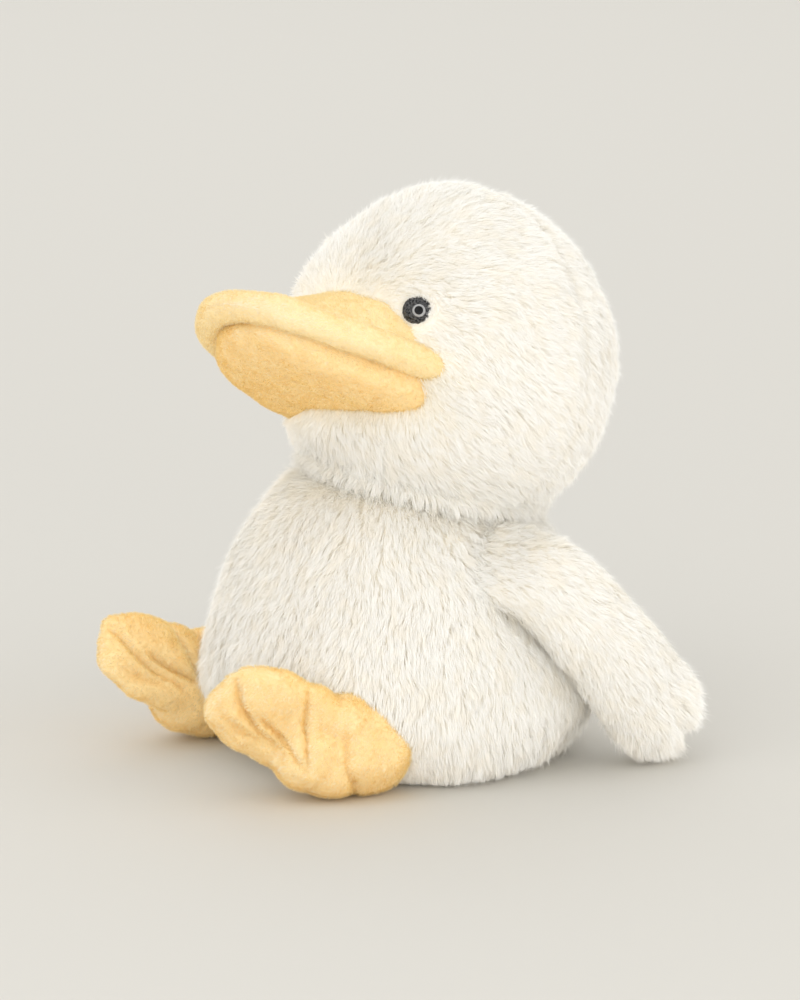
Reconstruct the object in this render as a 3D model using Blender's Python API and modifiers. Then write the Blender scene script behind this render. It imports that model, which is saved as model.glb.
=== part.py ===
"""A sitting plush duck: a pear-shaped body weighted with a bean bag, a round head that leans back,
a deep padded bill, two long wings and two flopped-out webbed feet.

Metres. +X is the duck's left, -Y is where it faces, +Z is up. The origin is on the table, at the
middle of the panel that the body sits on. Each pair is modelled on the left and mirrored.
"""

import math

import bmesh
import bpy
from mathutils import Matrix, Vector

# Cloth, seams and clearances
CLOTH = 0.0014
GAP = 0.0003
SEAM = 0.0004
BALL_GAP = 0.0006
FILL_SLACK = 0.0009
WELD = 0.00001

# Body, from the sitting panel up to the neck
BASE_RADIUS = 0.050
BASE_MARGIN = 0.0008
BELLY_RADIUS = 0.076
BELLY_HEIGHT = 0.030
NECK_RADIUS = 0.038
NECK_HEIGHT = 0.1045
NECK_SETBACK = 0.0086
NECK_TILT = math.radians(15)
SETBACK_POWER = 2.2
TILT_POWER = 1.4
SHOULDER_POWERS = (1.5, 0.6)
NECK_HOLE_RADIUS = 0.028
NECK_BALL_RADIUS = 0.026
SHOULDER_DISH = math.radians(1.5)
HEAD_UNDERCUT = math.radians(7.5)
BEAN_BAG_RADIUS = 0.036
BEAN_BAG_HEIGHT = 0.022
BEAN_BAG_SIDE_SHARE = 0.35
BEAN_BAG_POWER = 0.6

# Tail
TAIL_LENGTH = 0.024
TAIL_RADIUS = 0.013
TAIL_HEIGHT = 0.040
TAIL_RISE = math.radians(32)

# Head, a ball above the neck with a fuller crown and a shallow brow
HEAD_RADIUS = 0.0635
HEAD_RISE = 0.051
CROWN_SWELL = 0.0045
CROWN_LEAN = math.radians(13)
CROWN_SPREAD = math.radians(36)
CROWN_HOLE = math.radians(2)
BROW_DENT = 0.0035
BROW_RISE = math.radians(38)
BROW_SPREAD = math.radians(22)
BACK_SEAM = math.radians(113)

# How the face sits on the head: its left side higher than its right, and looking up a little
FACE_ROLL = math.radians(15.2)
FACE_PITCH = math.radians(8.7)

# Eyes, with a shank through the cloth and a washer behind it
EYE_RADIUS = 0.0058
EYE_DOME = 0.0031
EYE_SHANK_RADIUS = 0.0018
EYE_SHANK_LENGTH = 0.0080
EYE_BEARING = math.radians(41.6)
EYE_RISE = math.radians(4.8)
WASHER_RADIUS = 0.0055
WASHER_THICKNESS = 0.0012
WASHER_DEPTH = 0.0030

# Bill, measured from the middle of the head: forward, across, and up from the mouth
BILL_REACH = 0.1085
BILL_HALF_WIDTH = 0.0559
BILL_WIDEST_AT = 0.037
BILL_ROOT_AT = 0.024
BILL_ROUNDNESS = 2.28
RIM_RADIUS = 0.0063
RIM_DEPTH = 0.0146
RIM_TIP_LIFT = 0.0083
RIM_TIP_LIFT_POWER = 4.4
RIM_TIP_SHARE = 0.92
UPPER_BILL_RISE = 0.0380
UPPER_BILL_TIP_RISE = 0.0045
UPPER_BILL_TIP_POWER = 6
UPPER_BILL_SECTION_POWER = 0.8
PALATE_DROP = 0.0052
LOWER_BILL_INSET = 0.0105
LOWER_BILL_DEPTH = 0.0160
LOWER_BILL_CROWN = 0.0004
LOWER_BILL_TIP_POWER = 1.6
LOWER_BILL_SECTION_POWER = 0.65
LOWER_FILL_SETBACK_SHARE = 6

# Wings, sewn along a slanting seam on the shoulder
WING_LENGTH = 0.113
WING_ROOT_SPREAD = 0.0586
WING_ROOT_SETBACK = 0.0068
WING_ROOT_DROP = 0.0116
WING_ROOT_HALF_WIDTH = 0.0155
WING_HALF_WIDTH = 0.0175
WING_ROOT_HALF_THICKNESS = 0.0062
WING_HALF_THICKNESS = 0.0095
WING_ROUTE_SHARES = ((0, 0, 0), (0.24, 0.20, -0.10), (0.15, 0.472, -0.478), (0.12, 0.692, -0.728))
WING_SEAM_SHARES = (-0.46, 0.62, 0.62)
WING_TIP_SHARES = (0.05, 0.72, 0.69)
WING_END_SHARE = 0.80
WING_HOLE = math.radians(35)
WING_SEAT_GAP = 0.0012

# Legs, short stuffed stubs with a ball-shaped heel
HEEL_RADIUS = 0.0183
HEEL_SPREAD = 0.052
HEEL_FORWARD = 0.050
HEEL_LIFT = 0.0005
LEG_HOLE = math.radians(24)
# Dish in the belly that leaves room for the foot as it lifts, placed from the heel
INSTEP_RADIUS = 0.0168
INSTEP_PLACE = (0.0000, -0.0148, 0.0150)

# Feet, padded webbed paddles that flop outward
FOOT_LENGTH = 0.0655
FOOT_HALF_WIDTH = 0.0180
FOOT_HEEL_HALF_WIDTH = 0.0160
FOOT_HALF_THICKNESS = 0.0080
FOOT_CROWN_SHARE = 0.55
FOOT_CROWN_POWER = 0.9
FOOT_OUTLINE_POWER = 0.64
FOOT_SEAM = 0.0016
FOOT_RISE = math.radians(27)
FOOT_INWARD = math.radians(5)
FOOT_ROLL = math.radians(30)

# Facets
BODY_COLUMNS = 14
BODY_LOWER_ROWS = 4
BODY_UPPER_ROWS = 7
HEAD_COLUMNS = 10
HEAD_ROWS = 11
BALL_COLUMNS = 20
BALL_ROWS = 10
HEEL_COLUMNS = 18
HEEL_ROWS = 9
SOCK_COLUMNS = 18
SOCK_ROWS = 9
ROOT_ROWS = 3
PADDLE_COLUMNS = 20
PADDLE_ROWS = 4
RIM_POINTS = 20
TURNED_STEPS = 16

# Colours
PLUSH_WHITE = (0.955, 0.930, 0.870)
PLUSH_YELLOW = (0.960, 0.720, 0.300)
FILL_WHITE = (0.900, 0.900, 0.890)
BEAN_CLOTH = (0.780, 0.760, 0.700)
EYE_BLACK = (0.012, 0.012, 0.014)
WASHER_PLASTIC = (0.820, 0.820, 0.800)

# Places and sizes that follow from those above
INSIDE = CLOTH + GAP
NECK = Vector((0, NECK_SETBACK, NECK_HEIGHT))
NECK_FRAME = Matrix.Translation(NECK) @ Matrix.Rotation(-NECK_TILT, 4, "X")
FACE_TURN = Matrix.Rotation(-FACE_PITCH, 3, "X") @ Matrix.Rotation(-FACE_ROLL, 3, "Y")
HEEL = Vector((HEEL_SPREAD, -HEEL_FORWARD, HEEL_RADIUS + HEEL_LIFT))
WING_ROOT = Vector((WING_ROOT_SPREAD, WING_ROOT_SETBACK, NECK_HEIGHT - WING_ROOT_DROP))
BILL_TIP_SPAN = BILL_REACH - BILL_WIDEST_AT
SIDES = {"left": 1, "right": -1}
FULL_TURN = 2 * math.pi


def blend(start, end, share):
    """The value this share of the way from start to end."""
    return start + (end - start) * share


def steps(count):
    """Shares from 0 to 1 in this many equal steps."""
    return [i / count for i in range(count + 1)]


def powered(value, power):
    """A power that keeps its sign, which makes a round loop squarer."""
    return math.copysign(abs(value) ** power, value)


def mirrored(rows, side):
    """Rows of points on the left, or their mirror image on the right."""
    return [[Vector((side * point.x, point.y, point.z)) for point in row] for row in rows]


def mirrored_form(form, side):
    """A form on the left, or its mirror image on the right."""
    if side < 0:
        bmesh.ops.scale(form, vec=(side, 1, 1), verts=form.verts)
        bmesh.ops.reverse_faces(form, faces=form.faces)
    return form


def sheet_on(rows):
    """A grid primitive laid on rows of points, facing out. Points that meet are welded."""
    columns = len(rows[0]) - 1
    sheet = bmesh.new()
    bmesh.ops.create_grid(sheet, x_segments=columns, y_segments=len(rows) - 1, size=0.5)
    for vert in sheet.verts:
        row = rows[round((vert.co.y + 0.5) * (len(rows) - 1))]
        vert.co = row[round((vert.co.x + 0.5) * columns)]
    bmesh.ops.remove_doubles(sheet, verts=sheet.verts, dist=WELD)
    sheet.normal_update()
    middle = sum((vert.co for vert in sheet.verts), Vector()) / len(sheet.verts)
    outward = sum((f.calc_center_median() - middle).dot(f.normal) * f.calc_area() for f in sheet.faces)
    if outward < 0:
        bmesh.ops.reverse_faces(sheet, faces=sheet.faces)
    return sheet


def solid_on(rows, inset=0.0):
    """The closed form inside rows of points, with each open end capped, drawn in by inset."""
    solid = sheet_on(rows)
    bmesh.ops.holes_fill(solid, edges=[edge for edge in solid.edges if edge.is_boundary])
    bmesh.ops.recalc_face_normals(solid, faces=solid.faces)
    solid.normal_update()
    places = [vert.co - vert.normal * vert.calc_shell_factor() * inset for vert in solid.verts]
    for vert, place in zip(solid.verts, places):
        vert.co = place
    return solid


def ball(middle, radius, columns=BALL_COLUMNS, rows=BALL_ROWS):
    solid = bmesh.new()
    bmesh.ops.create_uvsphere(
        solid, u_segments=columns, v_segments=rows, radius=radius, matrix=Matrix.Translation(middle)
    )
    return solid


class Model:
    """The part's collections, pivots, materials and pieces."""

    def __init__(self):
        for item in list(bpy.data.objects):
            bpy.data.objects.remove(item)
        self.parts = self.new_collection("plush_duck")
        self.cutters = self.new_collection("cutters")
        self.places = {}

    def new_collection(self, name):
        collection = bpy.data.collections.new(name)
        bpy.context.scene.collection.children.link(collection)
        return collection

    def pivot(self, name, place, parent=None):
        """An empty at a place in the world, on the axis of the joint that moves what it carries."""
        empty = bpy.data.objects.new(name, None)
        empty.empty_display_size = NECK_BALL_RADIUS
        self.parts.objects.link(empty)
        self.places[name] = place
        empty.parent = parent
        empty.matrix_local = self.places[parent.name].inverted() @ place if parent else place
        return empty

    def finish(self, piece, pivot, colour, roughness):
        """Parents a piece to its pivot and gives it a material of its own."""
        material = bpy.data.materials.new(piece.name)
        material.use_nodes = True
        material.diffuse_color = (*colour, 1)
        shader = material.node_tree.nodes["Principled BSDF"]
        shader.inputs["Base Color"].default_value = (*colour, 1)
        shader.inputs["Roughness"].default_value = roughness
        shader.inputs["Metallic"].default_value = 0.0
        piece.data.materials.append(material)
        piece.parent = pivot
        return piece

    def from_mesh(self, name, form, pivot, colour, roughness=1.0):
        """A piece from a form that was made in world places."""
        mesh = bpy.data.meshes.new(name)
        bmesh.ops.transform(form, matrix=self.places[pivot.name].inverted(), verts=form.verts)
        form.to_mesh(mesh)
        form.free()
        mesh.shade_smooth()
        piece = bpy.data.objects.new(name, mesh)
        self.parts.objects.link(piece)
        return self.finish(piece, pivot, colour, roughness)

    def cover(self, name, rows, pivot, colour):
        """Cloth of one thickness, whose outside lies on rows of points."""
        piece = self.from_mesh(name, sheet_on(rows), pivot, colour)
        cloth = piece.modifiers.new("cloth", "SOLIDIFY")
        cloth.thickness = CLOTH
        cloth.offset = -1
        return piece

    def stuffing(self, name, rows, pivot, inset=0.0):
        """What fills a cover, just clear of its cloth."""
        return self.from_mesh(name, solid_on(rows, inset), pivot, FILL_WHITE)

    def turned(self, name, profile, frame, pivot, colour, roughness):
        """A solid turned about the frame's Z from (radius, height) points, top to bottom."""
        mesh = bpy.data.meshes.new(name)
        edges = [(i, i + 1) for i in range(len(profile) - 1)]
        mesh.from_pydata([(radius, 0, height) for radius, height in profile], edges, [])
        piece = bpy.data.objects.new(name, mesh)
        self.parts.objects.link(piece)
        self.finish(piece, pivot, colour, roughness)
        piece.matrix_local = self.places[pivot.name].inverted() @ frame
        screw = piece.modifiers.new("turn", "SCREW")
        screw.steps = screw.render_steps = TURNED_STEPS
        screw.use_merge_vertices = True
        screw.merge_threshold = WELD
        screw.use_smooth_shade = True
        return piece

    def cutter(self, name, form):
        """A form in world places that cuts others, seen as wires and left out of the part."""
        mesh = bpy.data.meshes.new(name)
        form.to_mesh(mesh)
        form.free()
        tool = bpy.data.objects.new(name, mesh)
        tool.hide_render = True
        tool.display_type = "WIRE"
        self.cutters.objects.link(tool)
        return tool

    def cut(self, piece, *tools):
        for tool in tools:
            boolean = piece.modifiers.new(tool.name, "BOOLEAN")
            boolean.operation = "DIFFERENCE"
            boolean.solver = "EXACT"
            boolean.object = tool


def body_rings():
    """The body's cross-sections from the sitting panel to the neck hole: the middle of each, how
    far it leans back, and its radius."""
    rings = []
    for share in steps(BODY_LOWER_ROWS):
        angle = share * math.pi / 2
        height = BELLY_HEIGHT * (1 - math.cos(angle))
        rings.append((Vector((0, 0, height)), 0.0, blend(BASE_RADIUS, BELLY_RADIUS, math.sin(angle))))
    top = NECK_HEIGHT - NECK_RADIUS * math.tan(SHOULDER_DISH)
    for share in steps(BODY_UPPER_ROWS)[1:]:
        rise = math.sin(share * math.pi / 2)
        middle = Vector((0, NECK_SETBACK * rise**SETBACK_POWER, blend(BELLY_HEIGHT, top, rise)))
        fullness = (1 - rise ** SHOULDER_POWERS[0]) ** SHOULDER_POWERS[1]
        radius = blend(NECK_RADIUS, BELLY_RADIUS, fullness)
        rings.append((middle, NECK_TILT * rise**TILT_POWER, radius))
    dish = NECK_HOLE_RADIUS * math.tan(SHOULDER_DISH)
    rings.append((NECK_FRAME @ Vector((0, 0, -dish)), NECK_TILT, NECK_HOLE_RADIUS))
    return rings


def body_rows(bearings, seam=0.0):
    """Points on the body at these bearings, from straight ahead towards the duck's left. A panel
    stops half a seam short of its first and last bearing."""
    rows = []
    for middle, lean, radius in body_rings():
        trim = seam / 2 / radius
        turned = [bearings[0] + trim, *bearings[1:-1], bearings[-1] - trim]
        lean_back = Matrix.Rotation(-lean, 3, "X")
        spokes = [Vector((math.sin(b), -math.cos(b), 0)) * radius for b in turned]
        rows.append([middle + lean_back @ spoke for spoke in spokes])
    return rows


def head_radius(direction):
    """The head's radius along a direction in the neck's frame."""
    crown = Vector((0, -math.sin(CROWN_LEAN), math.cos(CROWN_LEAN)))
    brow = Vector((0, -math.cos(BROW_RISE), math.sin(BROW_RISE)))
    swell = CROWN_SWELL * math.exp(-((direction.angle(crown) / CROWN_SPREAD) ** 2))
    dent = BROW_DENT * math.exp(-((direction.angle(brow) / BROW_SPREAD) ** 2))
    return HEAD_RADIUS + swell - dent


def head_direction(bearing, polar):
    """A direction from the middle of the head, in the neck's frame: polar is from the crown."""
    flat = math.sin(polar)
    return Vector((flat * math.sin(bearing), -flat * math.cos(bearing), math.cos(polar)))


def head_rows(bearings, seam=0.0):
    """Points on the head at these bearings, from the crown down to the neck hole. The underside is
    a cone, which leaves the head room to nod."""
    along = HEAD_RISE * math.sin(HEAD_UNDERCUT)
    reach = along + math.sqrt(HEAD_RADIUS**2 - (HEAD_RISE * math.cos(HEAD_UNDERCUT)) ** 2)
    under_radius = reach * math.cos(HEAD_UNDERCUT)
    under_height = reach * math.sin(HEAD_UNDERCUT)
    lowest = math.atan2(under_radius, under_height - HEAD_RISE)
    middle = Vector((0, 0, HEAD_RISE))
    rows = []
    for share in steps(HEAD_ROWS):
        polar = blend(CROWN_HOLE, lowest, share)
        trim = seam / 2 / (HEAD_RADIUS * math.sin(polar))
        turned = [bearings[0] + trim, *bearings[1:-1], bearings[-1] - trim]
        directions = [head_direction(b, polar) for b in turned]
        rows.append([NECK_FRAME @ (middle + d * head_radius(d)) for d in directions])
    trim = seam / 2 / NECK_HOLE_RADIUS
    turned = [bearings[0] + trim, *bearings[1:-1], bearings[-1] - trim]
    hole = [Vector((math.sin(b), -math.cos(b), math.tan(HEAD_UNDERCUT))) for b in turned]
    rows.append([NECK_FRAME @ (spoke * NECK_HOLE_RADIUS) for spoke in hole])
    return rows


def loop(middle, half_width, half_thickness):
    """Points round an ellipse given by its middle and its two half axes."""
    row = []
    for turn in steps(SOCK_COLUMNS):
        angle = turn * FULL_TURN
        row.append(middle + half_width * math.cos(angle) + half_thickness * math.sin(angle))
    return row


def spread(start, end, columns):
    """Bearings in equal steps."""
    return [blend(start, end, share) for share in steps(columns)]


def head_bearings():
    """The bearings of the three head panels, which meet at the front and behind each cheek."""
    return {
        "head_face_left": spread(0, BACK_SEAM, HEAD_COLUMNS),
        "head_back_panel": spread(BACK_SEAM, FULL_TURN - BACK_SEAM, HEAD_COLUMNS),
        "head_face_right": spread(FULL_TURN - BACK_SEAM, FULL_TURN, HEAD_COLUMNS),
    }


def bill_place(across, forward, up):
    """A place given from the middle of the head, in the face's own directions."""
    return NECK_FRAME @ (Vector((0, 0, HEAD_RISE)) + FACE_TURN @ Vector((across, -forward, up)))


def bill_share(forward, reach=BILL_REACH):
    """How far along from the widest place to the tip, from 0 to 1."""
    return min(1.0, max(0.0, (forward - BILL_WIDEST_AT) / (reach - BILL_WIDEST_AT)))


def bill_half_width(forward, inset, reach):
    """Half the bill's width there, drawn in from its outline."""
    share = bill_share(forward, reach)
    return (BILL_HALF_WIDTH - inset) * (1 - share**BILL_ROUNDNESS) ** (1 / BILL_ROUNDNESS)


def rim_height(forward):
    """The height of the middle of the rolled rim, which curls up at the tip."""
    return RIM_TIP_LIFT * bill_share(forward) ** RIM_TIP_LIFT_POWER - RIM_DEPTH


def bill_rows(inset, reach, rise, tip_rise, drop, powers, top):
    """Loops round one half of the bill, from the root to its reach. Each is as high as rise, which
    falls to tip_rise, and as deep as drop, about the height that top gives. The powers square off
    the tip and the loops."""
    tip_power, section_power = powers
    rows = []
    for share in steps(SOCK_ROWS):
        forward = blend(BILL_ROOT_AT, reach, math.sin(share * math.pi / 2))
        towards_tip = bill_share(forward, reach)
        closing = (1 - towards_tip**tip_power) ** 0.5
        row = []
        for turn in steps(SOCK_COLUMNS):
            angle = turn * FULL_TURN
            across = bill_half_width(forward, inset, reach) * powered(math.cos(angle), section_power)
            round_loop = powered(math.sin(angle), section_power)
            lift = blend(rise, tip_rise, towards_tip) if round_loop > 0 else drop
            row.append(bill_place(across, forward, top(forward) + lift * closing * round_loop))
        rows.append(row)
    return rows


def upper_bill_rows(inset=0.0):
    edge = 2 * (RIM_RADIUS + inset) + GAP
    rise = UPPER_BILL_RISE - inset
    tip_rise = UPPER_BILL_TIP_RISE - inset
    drop = PALATE_DROP - inset
    powers = (UPPER_BILL_TIP_POWER, UPPER_BILL_SECTION_POWER)
    return bill_rows(edge, BILL_REACH - edge, rise, tip_rise, drop, powers, rim_height)


def lower_bill_rows(inset=0.0):
    edge = LOWER_BILL_INSET + inset
    reach = BILL_REACH - LOWER_BILL_INSET - LOWER_FILL_SETBACK_SHARE * inset
    crown = LOWER_BILL_CROWN
    drop = LOWER_BILL_DEPTH - 2 * inset

    def top(forward):
        return rim_height(forward) - RIM_RADIUS - GAP - crown - inset

    powers = (LOWER_BILL_TIP_POWER, LOWER_BILL_SECTION_POWER)
    return bill_rows(edge, reach, crown, crown, drop, powers, top)


def wing_root_directions():
    """The left wing's own directions where it is sewn on: along it, along its seam, and outward."""
    along = (Vector(WING_ROUTE_SHARES[1]) - Vector(WING_ROUTE_SHARES[0])).normalized()
    out = along.cross(Vector(WING_SEAM_SHARES)).normalized()
    return along, out.cross(along), out


def wing_rows(inset=0.0):
    """Loops round the left wing, from the hole in its rounded root to its tip, drawn in by inset."""
    route = [Vector(share) * WING_LENGTH for share in WING_ROUTE_SHARES]
    along, wide, out = wing_root_directions()
    half_width = WING_ROOT_HALF_WIDTH - inset
    half_thickness = WING_ROOT_HALF_THICKNESS - inset
    rows = []
    for share in steps(ROOT_ROWS)[:-1]:
        angle = blend(WING_HOLE, math.pi / 2, share)
        middle = WING_ROOT - along * half_thickness * math.cos(angle)
        spread_wide = wide * half_width * math.sin(angle)
        spread_out = out * half_thickness * math.sin(angle)
        rows.append(loop(middle, spread_wide, spread_out))
    for share in steps(SOCK_ROWS):
        v = math.sin(share * math.pi / 2) * (1 - inset / WING_LENGTH)
        rest = 1 - v
        weights = (rest**3, 3 * rest**2 * v, 3 * rest * v**2, v**3)
        middle = sum((point * weight for point, weight in zip(route, weights)), WING_ROOT)
        pulls = (rest**2, 2 * rest * v, v**2)
        along = sum(((route[i + 1] - route[i]) * pulls[i] for i in range(3)), Vector()).normalized()
        wide = Vector(WING_SEAM_SHARES).lerp(Vector(WING_TIP_SHARES), min(1.0, 2 * v))
        out = along.cross(wide).normalized()
        wide = out.cross(along)
        swell = math.sin(min(1.0, v / WING_END_SHARE) * math.pi / 2)
        closing = max(0.0, v - WING_END_SHARE) / (1 - inset / WING_LENGTH - WING_END_SHARE)
        end = math.sqrt(max(0.0, 1 - closing**2))
        half_width = (blend(WING_ROOT_HALF_WIDTH, WING_HALF_WIDTH, swell) - inset) * end
        half_thickness = blend(WING_ROOT_HALF_THICKNESS, WING_HALF_THICKNESS, swell)
        half_thickness = (half_thickness - inset) * end
        rows.append(loop(middle, wide * half_width, out * half_thickness))
    return rows


def wing_seat():
    """The rounded groove in the left shoulder that the wing's root turns in."""
    along, wide, out = wing_root_directions()
    depth = WING_ROOT_HALF_THICKNESS + WING_SEAT_GAP
    half_width = WING_ROOT_HALF_WIDTH + WING_SEAT_GAP
    turn = Matrix((wide * half_width, out * depth, along * depth)).transposed()
    place = Matrix.Translation(WING_ROOT) @ turn.to_4x4()
    solid = bmesh.new()
    bmesh.ops.create_uvsphere(
        solid, u_segments=SOCK_COLUMNS, v_segments=HEEL_ROWS, radius=1.0, matrix=place
    )
    return solid


def leg_rows():
    """Loops round the left leg's ball, from the hole inside the body to its outer end."""
    inward = Vector((-HEEL_SPREAD, HEEL_FORWARD, 0)).normalized()
    turn_in = Vector((0, 0, 1)).rotation_difference(inward).to_matrix()
    rows = []
    for share in steps(HEEL_ROWS):
        polar = blend(LEG_HOLE, math.pi, share)
        ring = [head_direction(turn * FULL_TURN, polar) * HEEL_RADIUS for turn in steps(HEEL_COLUMNS)]
        rows.append([HEEL + turn_in @ point for point in ring])
    return rows


def foot_directions():
    """The left foot's own directions: to its toes, to its upper edge, and out of its sole."""
    flat = math.cos(FOOT_RISE)
    along = Vector((-flat * math.sin(FOOT_INWARD), -flat * math.cos(FOOT_INWARD), math.sin(FOOT_RISE)))
    upright = (Vector((0, 0, 1)) - along * along.z).normalized()
    across = Matrix.Rotation(-FOOT_ROLL, 3, along) @ upright
    return along, across, along.cross(across)


def foot_outline(angle, inset):
    """The paddle's outline in its own plane, narrower at the heel than at the toes."""
    share = (1 - math.cos(angle)) / 2
    half = blend(FOOT_HEEL_HALF_WIDTH, FOOT_HALF_WIDTH, math.sin(share * math.pi / 2)) - inset
    return blend(inset, FOOT_LENGTH - inset, share), half * powered(math.sin(angle), FOOT_OUTLINE_POWER)


def foot_rows(first, last, seam=0.0, inset=0.0):
    """Loops round the left foot between two shares of the way from the middle of its sole, over the
    edge, to the middle of its top. A panel stops half a seam short of the edge."""
    along, across, out = foot_directions()
    rows = []
    for share in steps(PADDLE_ROWS):
        angle = blend(first, last, share) * math.pi
        ring = math.sin(angle)
        depth = (FOOT_HALF_THICKNESS - inset) * powered(math.cos(angle), FOOT_CROWN_POWER)
        depth += seam / 2 if first < 0.5 else -seam / 2
        row = []
        for turn in steps(PADDLE_COLUMNS):
            forward, sideways = foot_outline(turn * FULL_TURN, inset)
            forward = blend(FOOT_LENGTH * FOOT_CROWN_SHARE, forward, ring)
            row.append(HEEL + along * forward + across * sideways * ring + out * depth)
        rows.append(row)
    return rows


def bean_bag_rows():
    """Loops round the bean bag, from its flat underside to its crown."""
    rows = []
    for share in steps(PADDLE_ROWS):
        angle = share * math.pi / 2
        radius = BEAN_BAG_RADIUS * abs(math.cos(angle)) ** BEAN_BAG_POWER
        height = INSIDE + BEAN_BAG_HEIGHT * blend(BEAN_BAG_SIDE_SHARE, 1, math.sin(angle))
        rows.append([
            Vector((math.sin(turn * FULL_TURN) * radius, -math.cos(turn * FULL_TURN) * radius, height))
            for turn in steps(SOCK_COLUMNS)
        ])
    floor = [Vector((point.x, point.y, INSIDE)) for point in rows[0]]
    return [floor, *rows]


def tail_rows(inset=0.0):
    """Loops round the tail, from inside the back panel to its blunt tip, drawn in by inset."""
    seat = Vector((0, BELLY_RADIUS, TAIL_HEIGHT))
    lean = Matrix.Rotation(TAIL_RISE - math.pi / 2, 3, "X")
    rows = []
    for share in steps(PADDLE_ROWS + 2):
        height = blend(-TAIL_RADIUS, TAIL_LENGTH - inset, math.sin(share * math.pi / 2))
        reach = max(0.0, height / (TAIL_LENGTH - inset))
        radius = (TAIL_RADIUS - inset) * math.sqrt(1 - reach**2)
        ring = [head_direction(turn * FULL_TURN, math.pi / 2) * radius for turn in steps(SOCK_COLUMNS)]
        rows.append([seat + lean @ (spoke + Vector((0, 0, height))) for spoke in ring])
    return rows


def eye_frame(side):
    """The eye's seat on the head, with Z out of the face."""
    direction = FACE_TURN @ head_direction(side * EYE_BEARING, math.pi / 2 - EYE_RISE)
    seat = Vector((0, 0, HEAD_RISE)) + direction * (head_radius(direction) + GAP)
    turn = Vector((0, 0, 1)).rotation_difference(direction).to_matrix().to_4x4()
    return NECK_FRAME @ Matrix.Translation(seat) @ turn


def make_body(model, root):
    """The body's panels, filling, bean bag and tail."""
    hips = []
    shoulders = []
    for name, side in SIDES.items():
        hip = ball(HEEL, HEEL_RADIUS + BALL_GAP, HEEL_COLUMNS, HEEL_ROWS)
        hips.append(model.cutter(f"hip_pocket_{name}", mirrored_form(hip, side)))
        instep = ball(HEEL + Vector(INSTEP_PLACE), INSTEP_RADIUS)
        hips.append(model.cutter(f"instep_dish_{name}", mirrored_form(instep, side)))
        shoulders.append(model.cutter(f"wing_seat_{name}", mirrored_form(wing_seat(), side)))
    whole_turn = spread(-math.pi / 2, 3 * math.pi / 2, 2 * BODY_COLUMNS)
    front = body_rows(spread(-math.pi / 2, math.pi / 2, BODY_COLUMNS), SEAM)
    back = body_rows(spread(math.pi / 2, 3 * math.pi / 2, BODY_COLUMNS), SEAM)
    model.cut(model.cover("body_front_panel", front, root, PLUSH_WHITE), *hips, *shoulders)
    model.cut(model.cover("body_back_panel", back, root, PLUSH_WHITE), *shoulders)

    socket = model.cutter("neck_socket", ball(NECK, NECK_BALL_RADIUS + BALL_GAP))
    bean_pocket = model.cutter("bean_pocket", solid_on(bean_bag_rows(), -GAP))
    filling = model.stuffing("body_stuffing", body_rows(whole_turn), root, INSIDE)
    model.cut(filling, socket, bean_pocket, *hips, *shoulders)
    model.from_mesh("bean_bag", solid_on(bean_bag_rows()), root, BEAN_CLOTH)

    edge = BASE_RADIUS - BASE_MARGIN
    disc = [(0, CLOTH), (edge, CLOTH), (edge, 0), (0, 0)]
    model.turned("base_panel", disc, Matrix.Identity(4), root, PLUSH_WHITE, 1.0)
    body_seat = model.cutter("body_seat", solid_on(body_rows(whole_turn), -GAP))
    model.cut(model.cover("tail_cover", tail_rows(), root, PLUSH_WHITE), body_seat)
    model.cut(model.stuffing("tail_stuffing", tail_rows(INSIDE), root), body_seat)
    return socket


def make_head(model, pivot, socket):
    """The head's panels, filling and eyes."""
    around = []
    for bearings in head_bearings().values():
        around += bearings if not around else bearings[1:]
    filling = model.stuffing("head_stuffing", head_rows(around), pivot, INSIDE)
    model.cut(filling, socket)
    panels = {}
    for name, bearings in head_bearings().items():
        panels[name] = model.cover(name, head_rows(bearings, SEAM), pivot, PLUSH_WHITE)
    for name, side in SIDES.items():
        pocket = make_eye(model, pivot, name, side)
        model.cut(filling, pocket)
        model.cut(panels[f"head_face_{name}"], shank_hole(model, name, side))
    return model.cutter("head_seat", solid_on(head_rows(around), -GAP))


def shank_hole(model, name, side):
    """A cutter for the hole that an eye's shank passes through."""
    hole = bmesh.new()
    bmesh.ops.create_cone(
        hole, cap_ends=True, segments=TURNED_STEPS, depth=2 * EYE_SHANK_LENGTH,
        radius1=EYE_SHANK_RADIUS + GAP, radius2=EYE_SHANK_RADIUS + GAP, matrix=eye_frame(side),
    )
    return model.cutter(f"shank_hole_{name}", hole)


def make_eye(model, pivot, name, side):
    """An eye with its shank, the washer behind the cloth, and the pocket that they need."""
    frame = eye_frame(side)
    dome = [
        (EYE_RADIUS * math.sin(share * math.pi / 2), EYE_DOME * math.cos(share * math.pi / 2))
        for share in steps(PADDLE_ROWS)
    ]
    shank = [(EYE_SHANK_RADIUS, 0), (EYE_SHANK_RADIUS, -EYE_SHANK_LENGTH), (0, -EYE_SHANK_LENGTH)]
    model.turned(f"eye_{name}", dome + shank, frame, pivot, EYE_BLACK, 0.08)

    top = -WASHER_DEPTH
    bottom = top - WASHER_THICKNESS
    bore = EYE_SHANK_RADIUS + GAP
    ring = [(bore, top), (WASHER_RADIUS, top), (WASHER_RADIUS, bottom), (bore, bottom), (bore, top)]
    model.turned(f"eye_washer_{name}", ring, frame, pivot, WASHER_PLASTIC, 0.5)

    pocket = bmesh.new()
    bmesh.ops.create_cone(
        pocket, cap_ends=True, segments=TURNED_STEPS, depth=2 * (EYE_SHANK_LENGTH + GAP),
        radius1=WASHER_RADIUS + GAP, radius2=WASHER_RADIUS + GAP, matrix=frame,
    )
    return model.cutter(f"eye_pocket_{name}", pocket)


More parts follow.
